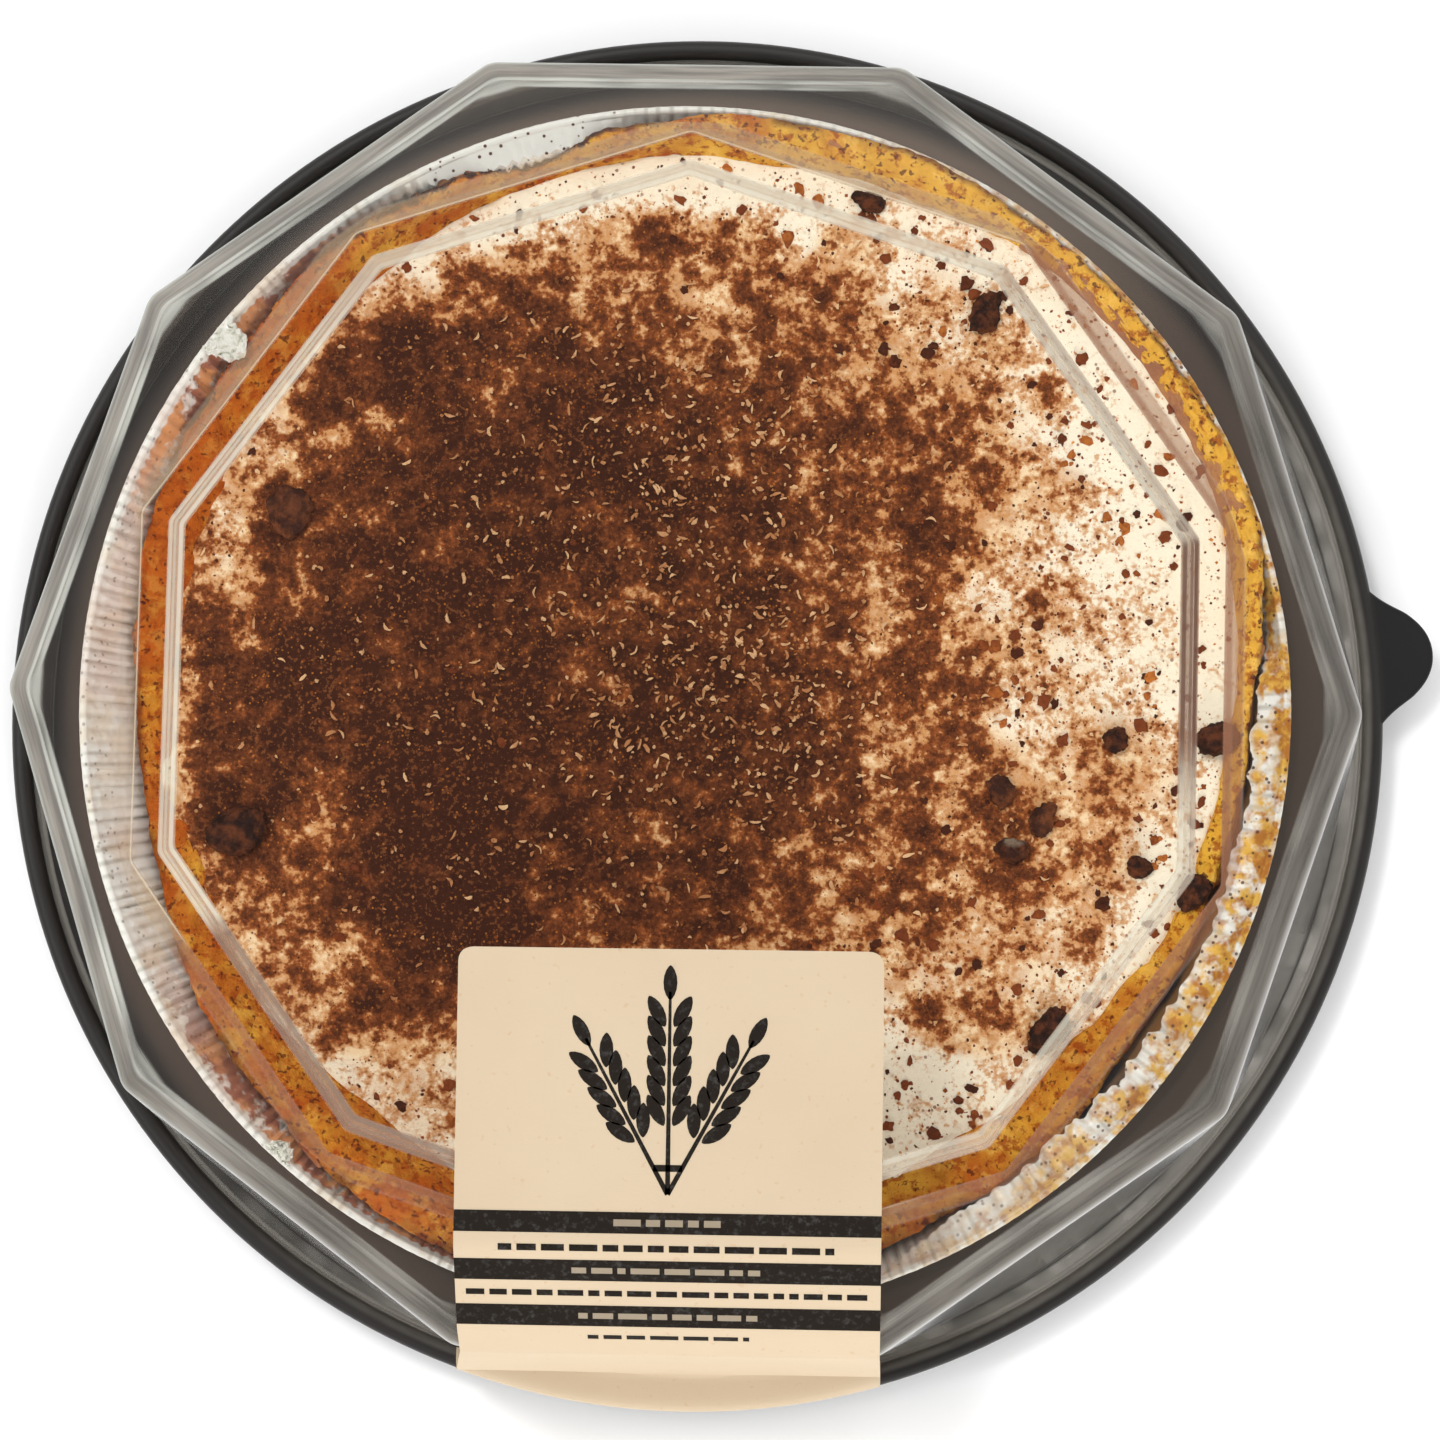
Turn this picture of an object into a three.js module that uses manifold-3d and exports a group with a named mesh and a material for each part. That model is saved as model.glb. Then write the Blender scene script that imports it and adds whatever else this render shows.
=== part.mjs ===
// A coffee creamer tart in its foil dish, sold in a black tray under a clear ten-sided lid.
// Units are millimetres, +Z is up, and the origin is the centre of the tray's underside.
import * as THREE from 'three';
import { mergeVertices } from 'three/addons/utils/BufferGeometryUtils.js';
import { ConvexGeometry } from 'three/addons/geometries/ConvexGeometry.js';
import { ImprovedNoise } from 'three/addons/math/ImprovedNoise.js';
import Module from 'manifold-3d';

const wasm = await Module();
wasm.setup();

// Driving dimensions
const gap = 0.3;

const tray = {
  rimRadius: 134, rimWidth: 3.8, rimTop: 12, skirtBottom: 6.5, wall: 1,
  footRadius: 104, seatRadius: 119, seatHeight: 9.2, segments: 60,
};
const tab = { reach: 10.2, halfRoot: 13.4, thickness: 1.2, turn: 5.6 };

const lid = {
  sides: 10, turn: -0.6, wall: 0.8,
  footRadius: 126.5, footHeight: 9.6, flangeRadius: 129.4, flangeThickness: 0.8, lipHeight: 1.2,
  wallTop: { radius: 123.9, height: 56, rounding: 5, arcSteps: 2 },
  shoulder: { radius: 119.4, height: 61, rounding: 4, arcSteps: 2 },
  ledgeLow: { radius: 104.6, height: 66.1, rounding: 2, arcSteps: 1 },
  ledge: { radius: 102.8, height: 67, rounding: 2, arcSteps: 1 },
  riser: { radius: 97.4, height: 67, rounding: 2, arcSteps: 1 },
  panelLow: { radius: 95.6, height: 69.2, rounding: 2, arcSteps: 1 },
  panel: { radius: 94.2, height: 70, rounding: 2, arcSteps: 1 },
};

const label = {
  topEdge: -45, halfWidth: 38.3, halfWidthAtRim: 41.5, cornerRadius: 2.8, thickness: 0.3,
  wrap: 4, columns: 10,
};

const dish = {
  offset: [-1.1, 0.9], floor: tray.wall + gap, sheet: 0.5,
  baseRadius: 95, rimRadius: 115.1, rimHeight: 33, roll: 1.3,
  pleats: 60, pleatDepth: 0.45,
};

// The cream lies higher towards one side, where it laps up the pastry.
const filling = {
  level: 25, crown: 1.2, relief: 0.8, segments: 56, lean: 2.5, rise: 3, riseFrom: 90, highSide: 40,
};
// Outer and inner radius of the pastry's rim that shows, every 15 degrees from +X.
// It spills over the foil's rim where it is widest.
const crust = {
  bed: 7, bedRadius: 90, thickness: 3.2, leastThickness: 1.2, lowHeight: 20, segments: 102, flake: 0.9,
  spillHeight: 1.8, spillFrom: 108.5, spillAt: 111.5,
  outer: [
    108.4, 113.2, 113.8, 113.8, 113.9, 113.8, 112.9, 109.2, 111.2, 110.2, 109.2, 108.2,
    106, 105.7, 107.8, 110, 111.2, 110.6, 109.8, 109.3, 108.9, 107.8, 106.4, 106.8,
  ],
  inner: [
    104.6, 108, 110, 110.4, 108.3, 106.2, 106.4, 105.4, 103.2, 100.2, 99.4, 98.5,
    98.3, 97.6, 97.5, 97.5, 97.5, 97.5, 97.4, 97.2, 97, 97.3, 98.1, 101.6,
  ],
};

const colours = {
  tray: 0x2b2927, lid: 0xd9dcdb, label: 0xe4ceaf, foil: 0xc9c6c0,
  crust: 0xb8732c, filling: 0xe2ceac, chunk: 0x3a1f14,
};

const flaps = [
  { angle: 142, length: 6.5, width: 8, seed: 5 },
  { angle: -131, length: 3.5, width: 6, seed: 11 },
];

// Small helpers
const degrees = THREE.MathUtils.degToRad;
const lerp = THREE.MathUtils.lerp;
const clamp = THREE.MathUtils.clamp;
const smoothstep = THREE.MathUtils.smoothstep;
const noise = new ImprovedNoise();

function roundNoise(angle, waves, layer) {
  // Noise that closes on itself once round the circle.
  const reach = waves / Math.PI;
  return noise.noise(reach * Math.cos(angle) + 7.3, reach * Math.sin(angle) + 3.1, layer);
}

function around(stations, angle) {
  // A smooth curve through values given at even steps round the circle.
  const place = ((angle / (2 * Math.PI)) * stations.length + 4 * stations.length) % stations.length;
  const k = Math.floor(place);
  const t = place - k;
  const [a, b, c, d] = [-1, 0, 1, 2].map((step) => stations[(k + step + stations.length) % stations.length]);
  return b + 0.5 * t * (c - a + t * (2 * a - 5 * b + 4 * c - d + t * (3 * (b - c) + d - a)));
}

function seeded(seed) {
  let state = seed;
  return () => {
    state = (state * 1664525 + 1013904223) % 4294967296;
    return state / 4294967296;
  };
}

function welded(geometry) {
  geometry.deleteAttribute('normal');
  geometry.deleteAttribute('uv');
  return mergeVertices(geometry, 1e-4);
}

function toSolid(geometry) {
  const merged = welded(geometry.clone());
  const index = merged.index.array;
  const corners = [];
  for (let i = 0; i < index.length; i += 3) {
    const [a, b, c] = [index[i], index[i + 1], index[i + 2]];
    if (a !== b && b !== c && c !== a) corners.push(a, b, c);
  }
  const vertProperties = new Float32Array(merged.attributes.position.array);
  return new wasm.Manifold(new wasm.Mesh({ numProp: 3, vertProperties, triVerts: new Uint32Array(corners) }));
}

function toGeometry(solid) {
  const mesh = solid.getMesh();
  const geometry = new THREE.BufferGeometry();
  geometry.setAttribute('position', new THREE.BufferAttribute(mesh.vertProperties, 3));
  geometry.setIndex(new THREE.BufferAttribute(mesh.triVerts, 1));
  return geometry;
}

function turned(profileAt, segments) {
  // A turned body whose profile of [radius, height] pairs may change with the angle.
  const first = profileAt(0, 0);
  const geometry = new THREE.LatheGeometry(first.map(([r, z]) => new THREE.Vector2(r, z)), segments);
  const position = geometry.attributes.position;
  for (let s = 0; s <= segments; s++) {
    const step = s % segments;
    const angle = (step / segments) * 2 * Math.PI;
    profileAt(angle, step).forEach(([r, z], row) => {
      position.setXYZ(s * first.length + row, r * Math.cos(angle), r * Math.sin(angle), z);
    });
  }
  return geometry;
}

function part(name, geometry, colour, roughness, metalness = 0) {
  const material = new THREE.MeshStandardMaterial({ color: colour, roughness, metalness });
  const mesh = new THREE.Mesh(geometry, material);
  mesh.name = name;
  return mesh;
}

// Black tray: flat floor, sloping wall, a seat for the lid and a rolled rim with a thumb tab
function trayProfile() {
  const { rimRadius, rimWidth, rimTop, skirtBottom, wall, footRadius, seatRadius, seatHeight } = tray;
  const inner = rimRadius - rimWidth;
  return [
    [0, 0], [footRadius, 0], [footRadius + 3.5, 1.2], [seatRadius - 2.6, seatHeight - wall - 0.8],
    [seatRadius, seatHeight - wall], [inner + wall, seatHeight - wall], [inner + wall + 0.2, rimTop - wall],
    [rimRadius - wall, rimTop - wall], [rimRadius - wall, skirtBottom], [rimRadius, skirtBottom],
    [rimRadius, rimTop - 0.7], [rimRadius - 0.9, rimTop], [inner + 0.4, rimTop],
    [inner - 0.1, seatHeight + 0.3], [inner - 0.8, seatHeight],
    [seatRadius - 0.4, seatHeight], [seatRadius - 3, seatHeight - 0.7],
    [footRadius + 3, 2 * wall + 0.2], [footRadius - 0.4, wall], [0, wall],
  ];
}

function tabGeometry() {
  const root = tray.rimRadius - 1.5;
  const tip = tray.rimRadius + tab.reach;
  const half = tab.halfRoot;
  const shape = new THREE.Shape();
  shape.moveTo(root, -half);
  shape.bezierCurveTo(root + 2.6, 3 - half, root + 5.5, 4.2 - half, tip - 4.4, -0.6 * half);
  shape.bezierCurveTo(tip - 1.4, -5.6, tip, -3, tip, 0);
  shape.bezierCurveTo(tip, 3, tip - 1.4, 5.6, tip - 4.4, 0.6 * half);
  shape.bezierCurveTo(root + 5.5, half - 4.2, root + 2.6, half - 3, root, half);
  const geometry = new THREE.ExtrudeGeometry(shape, {
    depth: tab.thickness, bevelEnabled: false, curveSegments: 6,
  });
  geometry.translate(0, 0, tray.rimTop - 0.5 - tab.thickness);
  geometry.rotateZ(degrees(tab.turn));
  return geometry;
}

function trayGeometry() {
  const bowl = toSolid(turned(trayProfile, tray.segments));
  return toGeometry(bowl.add(toSolid(tabGeometry())));
}

// Clear lid: a ten-sided dome with a chamfered shoulder, a second polygon turned by half a side,
// and a raised flat panel; a round flange sits inside the tray's rim
function polygonRing({ radius, height, rounding, arcSteps }, turn, shrink = 0, drop = 0) {
  const points = [];
  const half = Math.PI / lid.sides;
  const toCentre = radius - shrink - rounding / Math.cos(half);
  for (let side = 0; side < lid.sides; side++) {
    const middle = degrees(turn) + 2 * half * side;
    for (let k = 0; k <= arcSteps; k++) {
      const angle = middle + half * ((2 * k) / arcSteps - 1);
      points.push(new THREE.Vector3(
        toCentre * Math.cos(middle) + rounding * Math.cos(angle),
        toCentre * Math.sin(middle) + rounding * Math.sin(angle),
        height - drop,
      ));
    }
  }
  return points;
}

function circleRing(radius, height, count) {
  return Array.from({ length: count }, (_, k) => {
    const angle = (k / count) * 2 * Math.PI;
    return new THREE.Vector3(radius * Math.cos(angle), radius * Math.sin(angle), height);
  });
}

function hull(points) {
  return toSolid(new ConvexGeometry(points));
}

function domeSolid(shrink, extraDepth) {
  const turnB = lid.turn + 180 / lid.sides;
  const top = shrink;
  const dome = hull([
    ...circleRing(lid.footRadius - shrink, lid.footHeight - extraDepth, 60),
    ...polygonRing(lid.wallTop, lid.turn, shrink, shrink * 0.4),
    ...polygonRing(lid.shoulder, lid.turn, shrink * 0.8, shrink * 0.75),
    ...polygonRing(lid.ledgeLow, turnB, shrink * 0.4, shrink * 0.95),
    ...polygonRing(lid.ledge, turnB, shrink * 0.3, top),
  ]);
  const plateau = hull([
    ...polygonRing({ ...lid.riser, height: lid.riser.height - 2.5 }, turnB, shrink),
    ...polygonRing(lid.riser, turnB, shrink, top),
    ...polygonRing(lid.panelLow, turnB, shrink * 0.8, shrink * 0.8),
    ...polygonRing(lid.panel, turnB, shrink * 0.5, top),
  ]);
  return dome.add(plateau);
}

function flangeProfile() {
  const { footRadius, footHeight, flangeRadius, flangeThickness, lipHeight, wall } = lid;
  return [
    [footRadius - wall / 2, footHeight], [flangeRadius, footHeight],
    [flangeRadius, footHeight + flangeThickness + lipHeight],
    [flangeRadius - wall, footHeight + flangeThickness + lipHeight],
    [flangeRadius - wall - 0.4, footHeight + flangeThickness],
    [footRadius - wall / 2, footHeight + flangeThickness], [footRadius - wall / 2, footHeight],
  ];
}

function lidGeometry() {
  const outer = domeSolid(0, 0);
  const inner = domeSolid(lid.wall, 1);
  const flange = toSolid(turned(flangeProfile, 60));
  return toGeometry(outer.subtract(inner).add(flange));
}

// Paper label: lies on the panel, bridges to the shoulder, goes down the front side and over the rim
function labelPath(halfWidthShare) {
  const lift = gap + label.thickness / 2;
  const half = Math.PI / lid.sides;
  const wallEdge = -lid.wallTop.radius * Math.cos(half) - lift;
  const shoulderEdge = -lid.shoulder.radius * Math.cos(half) - 0.2;
  const footEdge = -lid.footRadius - lift;
  const panelTop = lid.panel.height + lift;
  const rimTop = tray.rimTop + lift;
  const widthAt = (z) => lerp(label.halfWidthAtRim, label.halfWidth, clamp((z - rimTop) / 44, 0, 1));
  const row = (y, z, width = widthAt(z)) => ({ x: halfWidthShare * width, y, z });
  const onRim = (radius, z) => {
    const x = (halfWidthShare * label.halfWidthAtRim * radius) / tray.rimRadius;
    return { x, y: -Math.sqrt(radius ** 2 - x ** 2), z };
  };
  const rows = [];
  for (const turn of [0, 30, 60, 90]) {
    const sin = Math.sin(degrees(turn));
    const cos = Math.cos(degrees(turn));
    const width = label.halfWidth - label.cornerRadius * (1 - sin);
    rows.push(row(label.topEdge - label.cornerRadius * (1 - cos), panelTop, width));
  }
  rows.push(row(-72, panelTop), row(-98, panelTop), row(shoulderEdge, lid.shoulder.height + lift + 0.35));
  rows.push(row(wallEdge, lid.wallTop.height + lift - 0.1), row(lerp(wallEdge, footEdge, 0.5), 34.3));
  rows.push(row(footEdge + 0.25, rimTop + 1));
  rows.push(onRim(tray.rimRadius - 1.4, rimTop), onRim(tray.rimRadius + lift, tray.rimTop - 0.5));
  rows.push(onRim(tray.rimRadius + lift, tray.rimTop - label.wrap));
  return rows;
}

function labelGeometry() {
  const rowCount = labelPath(0).length;
  const geometry = new THREE.BoxGeometry(2, rowCount - 1, 1, label.columns, rowCount - 1, 1);
  const position = geometry.attributes.position;
  for (let i = 0; i < position.count; i++) {
    const path = labelPath(position.getX(i));
    const row = Math.round((rowCount - 1) / 2 - position.getY(i));
    const before = path[Math.max(row - 1, 0)];
    const after = path[Math.min(row + 1, rowCount - 1)];
    const along = new THREE.Vector2(after.y - before.y, after.z - before.z).normalize();
    const lift = position.getZ(i) * label.thickness;
    const at = path[row];
    position.setXYZ(i, at.x, at.y + along.y * lift, at.z - along.x * lift);
  }
  return geometry;
}

// Foil dish: pleated wall, rolled rim, and two small flaps folded in over the crust
const wallBottom = { radius: dish.baseRadius - 0.5, height: dish.floor };
const wallHead = { radius: dish.rimRadius - 2 * dish.roll - 0.4, height: dish.rimHeight - dish.roll };
const wallSlope = (wallHead.radius - wallBottom.radius) / (wallHead.height - wallBottom.height);

function foilWallRadius(height) {
  // Inside of the wall.
  return wallBottom.radius + wallSlope * (height - wallBottom.height);
}

function caseRadius(height) {
  // Outside of the pastry case, clear of the pleats.
  return foilWallRadius(height) - dish.pleatDepth - gap - 0.2;
}

function caseHeight(radius) {
  return wallBottom.height + (radius + dish.pleatDepth + gap + 0.2 - wallBottom.radius) / wallSlope;
}

function dishProfile(angle, step) {
  const pleat = dish.pleatDepth * (step % 2 ? 1 : -1);
  const rollCentre = [dish.rimRadius - dish.roll, dish.rimHeight - dish.roll];
  const low = dish.floor + 2.5;
  const high = rollCentre[1] - 2;
  const roll = [-120, -50, 20, 90, 160].map((turn) => [
    rollCentre[0] + dish.roll * Math.cos(degrees(turn)), rollCentre[1] + dish.roll * Math.sin(degrees(turn)),
  ]);
  return [
    [0, dish.floor], [dish.baseRadius, dish.floor],
    [foilWallRadius(low) + dish.sheet + pleat, low], [foilWallRadius(high) + dish.sheet + pleat, high],
    ...roll,
    [foilWallRadius(high) + pleat, high], [foilWallRadius(low) + pleat, low],
    [dish.baseRadius - 0.8, dish.floor + dish.sheet], [0, dish.floor + dish.sheet],
  ];
}

function flap({ angle, length, width, seed }, grow = 0) {
  const random = seeded(seed);
  const points = [];
  const start = dish.rimRadius - 2 * dish.roll + 0.8;
  for (let k = 0; k < 14; k++) {
    const along = k < 4 ? 0 : random() * (length + grow);
    const across = (random() - 0.5) * (width + 2 * grow) * (1 - along / length / 2);
    const up = dish.rimHeight - 0.9 + (random() - 0.3) * (1.4 + 3 * grow);
    points.push(new THREE.Vector3(start - along, across, up));
  }
  const geometry = new ConvexGeometry(points);
  geometry.rotateZ(degrees(angle));
  return toSolid(geometry);
}

function dishGeometry() {
  const bowl = toSolid(turned(dishProfile, 2 * dish.pleats));
  return toGeometry(flaps.reduce((body, spec) => body.add(flap(spec)), bowl));
}

// Cream filling: a soft surface, slightly crowned
function fillingHeight(x, y) {
  const radius = Math.hypot(x, y);
  const reach = Math.min(radius / 105, 1);
  const toSide = Math.cos(Math.atan2(y, x) - degrees(filling.highSide));
  const lean = filling.lean * reach * toSide;
  const rise = filling.rise * smoothstep(radius, filling.riseFrom, 108) * Math.max(toSide, 0) ** 2;
  const soft = noise.noise(x / 17 + 4.2, y / 17 + 1.7, 0.3) + 0.5 * noise.noise(x / 7, y / 7, 3.3);
  const waves = filling.relief * soft * (1 - reach ** 6);
  return filling.level + filling.crown * (1 - reach ** 2) + lean + rise + waves;
}

// Pastry: its rim leans out over the foil on one side, and has a flaky, scalloped edge
function crustOuter(angle) {
  const ragged = crust.flake * (roundNoise(angle, 24, 0.4) * 1.4 + roundNoise(angle, 60, 2.7) * 0.8);
  return Math.min(around(crust.outer, angle) + ragged, dish.rimRadius - 0.5);
}

function crustInner(angle) {
  const ragged = roundNoise(angle, 18, 5.1) * 1.4 + roundNoise(angle, 50, 8.2) * 0.8;
  const wanted = Math.min(around(crust.inner, angle) + ragged, crustOuter(angle) - crust.thickness);
  const level = fillingHeight(wanted * Math.cos(angle), wanted * Math.sin(angle));
  return Math.min(wanted, caseRadius(level) - crust.leastThickness);
}

function creamEdge(angle) {
  // Height of the cream where it meets the pastry.
  const radius = crustInner(angle);
  return fillingHeight(radius * Math.cos(angle), radius * Math.sin(angle)) - 0.4;
}

function crustLowInner(angle) {
  // Inside of the case just under the cream's surface.
  return Math.min(crustInner(angle) - 1.5, caseRadius(crust.lowHeight) - crust.thickness);
}

function crustProfile(angle) {
  const outer = crustOuter(angle);
  const inner = crustInner(angle);
  const highest = dish.rimHeight - 2.6;
  const wallRadius = Math.min(outer, caseRadius(highest));
  const wallHeight = clamp(caseHeight(wallRadius), creamEdge(angle), highest);
  const spill = smoothstep(outer, crust.spillFrom, crust.spillAt);
  const lip = lerp(wallHeight + 0.3, dish.rimHeight + gap + 0.1, spill);
  const level = lerp(wallHeight + 0.8, dish.rimHeight + crust.spillHeight, spill);
  const crest = level + 1.1 * roundNoise(angle, 40, 1.9);
  const width = outer - inner;
  const shoulder = lerp(crest, creamEdge(angle), 0.55) + 0.6 * roundNoise(angle, 55, 6.6);
  const low = dish.floor + dish.sheet + gap;
  return [
    [0, low], [caseRadius(low) - 0.6, low], [caseRadius(12), 12],
    [Math.min(caseRadius(19), wallRadius + 0.4), 19],
    [wallRadius, wallHeight], [wallRadius, lip], [outer, lip + 0.2],
    [outer - 0.22 * width, Math.max(crest, lip + 0.6)],
    [outer - 0.5 * width, Math.max(crest, lip + 0.5) - 0.2],
    [inner + 0.18 * width, shoulder], [inner, creamEdge(angle)], [crustLowInner(angle), crust.lowHeight],
    [crust.bedRadius, crust.bed], [0, crust.bed],
  ];
}

function nearestInside(edgeAt, angle) {
  // The least radius of an edge over one step of the cream either way, so that its chords stay inside.
  const step = (2 * Math.PI) / filling.segments;
  const shares = [-1, -0.75, -0.5, -0.25, 0, 0.25, 0.5, 0.75, 1];
  return Math.min(...shares.map((share) => edgeAt(angle + share * step)));
}

function fillingProfile(angle) {
  const inner = nearestInside(crustInner, angle);
  const side = gap + 0.05;
  const edge = fillingHeight(inner * Math.cos(angle), inner * Math.sin(angle)) - 0.4;
  const rows = [0.985, 0.93, 0.83, 0.7, 0.56, 0.42, 0.28, 0.14, 0].map((share) => {
    const radius = share * (inner - side);
    const height = fillingHeight(radius * Math.cos(angle), radius * Math.sin(angle));
    return [radius, height];
  });
  return [
    [0, crust.bed + gap], [crust.bedRadius - side, crust.bed + gap],
    [nearestInside(crustLowInner, angle) - side, crust.lowHeight],
    [inner - side, edge], ...rows,
  ];
}

// Dark chunks lying in the cream, by place, size across and turn
const chunks = [
  { at: [34.7, 97.2], size: [8, 4.4, 4], turn: -10 },
  { at: [56.9, 75.9], size: [6.8, 10.4, 6], turn: -14 },
  { at: [101.4, -5.2], size: [9, 8, 6], turn: 10 },
  { at: [-85.5, -24.5], size: [13, 11, 7], turn: 24 },
  { at: [60.6, -15.6], size: [6.6, 7.4, 5], turn: 20 },
  { at: [68.9, -20.6], size: [6, 8, 5], turn: -20 },
  { at: [62.6, -26.9], size: [7.4, 6, 5], turn: 5 },
  { at: [97.4, -34.2], size: [6.6, 9.4, 6], turn: -24 },
  { at: [70.4, -60.5], size: [7, 11.6, 6], turn: -38 },
  { at: [-76.3, 37.2], size: [10.5, 12, 4.4], turn: -8 },
  { at: [82.3, -5.4], size: [6, 6, 4.6], turn: 12 },
  { at: [87.1, -29.6], size: [6.4, 4.6, 4.4], turn: -32 },
];
const sunk = 0.4;

function chunkGeometry({ at, size, turn }, seed, grow = 0) {
  const random = seeded(seed);
  const points = [];
  for (let k = 0; k < 26; k++) {
    const lift = 2 * random() - 1;
    const heading = 2 * Math.PI * random();
    const flat = Math.sqrt(1 - lift ** 2) ** 0.7;
    const reach = 0.88 + 0.12 * random();
    points.push(new THREE.Vector3(
      (size[0] / 2 + grow) * reach * flat * Math.cos(heading),
      (size[1] / 2 + grow) * reach * flat * Math.sin(heading),
      (size[2] / 2 + grow) * reach * lift,
    ));
  }
  const geometry = new ConvexGeometry(points);
  geometry.rotateZ(degrees(turn));
  geometry.translate(at[0], at[1], fillingHeight(...at) + size[2] * (0.5 - sunk));
  return geometry;
}

// Small toppings fused to the cream: dark crumbs towards one side, pale shavings over the middle
function scatter(count, seed, place) {
  const random = seeded(seed);
  const placed = [];
  for (let tries = 0; placed.length < count && tries < count * 40; tries++) {
    const spot = place(random);
    const clear = (other, room) => Math.hypot(spot.x - other[0], spot.y - other[1]) > room;
    const offChunks = chunks.every((chunk) => clear(chunk.at, Math.max(...chunk.size) / 2 + 3.5));
    const offOthers = placed.every((other) => clear([other.x, other.y], 4.5));
    const inside = Math.hypot(spot.x, spot.y) < crustInner(Math.atan2(spot.y, spot.x)) - 4.5;
    if (offChunks && offOthers && inside) placed.push(spot);
  }
  return placed;
}

function crumbSpot(random) {
  const angle = degrees(-75 + 170 * random());
  const radius = 50 + 58 * Math.sqrt(random());
  return {
    x: radius * Math.cos(angle), y: radius * Math.sin(angle),
    size: 1.6 + 1.8 * random() ** 2, turn: random(),
  };
}

function shavingSpot(random) {
  const angle = 2 * Math.PI * random();
  const radius = 38 * Math.sqrt(random());
  const centre = random() < 0.5 ? [2, 52] : [10, 2];
  return {
    x: centre[0] + 1.2 * radius * Math.cos(angle), y: centre[1] + 0.75 * radius * Math.sin(angle),
    size: 3 + 2 * random(), turn: random(),
  };
}

function crumb({ x, y, size, turn }) {
  const geometry = new THREE.OctahedronGeometry(size / 2);
  geometry.scale(1, 0.8, 0.75);
  geometry.rotateZ(turn * Math.PI);
  geometry.translate(x, y, fillingHeight(x, y) - 0.02 * size);
  return toSolid(geometry);
}

function shaving({ x, y, size, turn }) {
  const geometry = new THREE.BoxGeometry(size, 0.9, 0.9, 2, 1, 1);
  const position = geometry.attributes.position;
  for (let i = 0; i < position.count; i++) {
    const bend = (2 * position.getX(i)) / size;
    position.setY(i, position.getY(i) + 0.7 * (1 - bend ** 2));
  }
  geometry.rotateZ(turn * 2 * Math.PI);
  geometry.translate(x, y, fillingHeight(x, y));
  return toSolid(geometry);
}

function largestBody(solid) {
  return solid.decompose().reduce((best, piece) => (piece.volume() > best.volume() ? piece : best));
}

function fillingGeometry() {
  let body = toSolid(turned(fillingProfile, filling.segments));
  const crumbs = scatter(30, 21, crumbSpot).map(crumb);
  const shavings = scatter(30, 8, shavingSpot).map(shaving);
  for (const piece of [...crumbs, ...shavings]) body = body.add(piece);
  chunks.forEach((chunk, k) => {
    body = body.subtract(toSolid(chunkGeometry(chunk, 100 + k, gap)));
  });
  return toGeometry(largestBody(body));
}

function crustGeometry() {
  let body = toSolid(turned(crustProfile, crust.segments));
  chunks.forEach((chunk, k) => {
    body = body.subtract(toSolid(chunkGeometry(chunk, 100 + k, gap)));
  });
  for (const spec of flaps) body = body.subtract(flap(spec, gap));
  return toGeometry(largestBody(body));
}

// The whole pack
const pack = new THREE.Group();
pack.add(part('base_tray', trayGeometry(), colours.tray, 0.35));
pack.add(part('lid', lidGeometry(), colours.lid, 0.08));
pack.add(part('label', labelGeometry(), colours.label, 0.75));

const tart = new THREE.Group();
tart.position.set(...dish.offset, 0);
tart.add(part('foil_dish', dishGeometry(), colours.foil, 0.3, 1));
tart.add(part('crust', crustGeometry(), colours.crust, 0.8));
tart.add(part('filling', fillingGeometry(), colours.filling, 0.7));
chunks.forEach((chunk, k) => {
  tart.add(part(`chunk_${k + 1}`, chunkGeometry(chunk, 100 + k), colours.chunk, 0.6));
});
pack.add(tart);

export default pack;
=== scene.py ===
# A coffee creamer tart as it is sold: foil dish in a black tray, clear ten-sided lid and paper label.
# Lengths in the dictionaries are millimetres, and everything built from them is in metres.
import math
import random

import bmesh
import bpy
import numpy as np
from mathutils import Matrix, Vector, noise
from mathutils.bvhtree import BVHTree


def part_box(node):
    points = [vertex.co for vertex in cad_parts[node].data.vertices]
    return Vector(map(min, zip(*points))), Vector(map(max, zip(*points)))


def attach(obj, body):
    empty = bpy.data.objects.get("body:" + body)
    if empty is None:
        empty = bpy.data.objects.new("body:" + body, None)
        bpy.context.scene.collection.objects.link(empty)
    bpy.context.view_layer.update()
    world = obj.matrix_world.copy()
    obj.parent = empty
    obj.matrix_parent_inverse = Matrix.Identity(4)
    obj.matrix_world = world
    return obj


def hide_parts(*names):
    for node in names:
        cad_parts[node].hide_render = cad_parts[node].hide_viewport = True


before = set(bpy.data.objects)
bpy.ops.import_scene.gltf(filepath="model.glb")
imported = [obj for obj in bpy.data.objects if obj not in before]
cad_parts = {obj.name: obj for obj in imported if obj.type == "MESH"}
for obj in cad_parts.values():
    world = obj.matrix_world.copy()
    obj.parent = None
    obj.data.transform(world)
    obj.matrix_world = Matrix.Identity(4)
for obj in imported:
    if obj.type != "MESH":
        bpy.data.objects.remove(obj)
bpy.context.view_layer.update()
mm = 0.001
fullTurn = 2 * math.pi

dishLow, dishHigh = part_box("foil_dish")
tartCentre = Vector(((dishLow.x + dishHigh.x) / 2, (dishLow.y + dishHigh.y) / 2, 0))
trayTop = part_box("base_tray")[1].z


# Camera at the photograph's angle, nearly straight above the pack
view = dict(eye=(33.7, -45.4, 702), target=(5.0, 0.2, 0), roll=-0.0135, lens=88.8, sensor=36)


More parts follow.
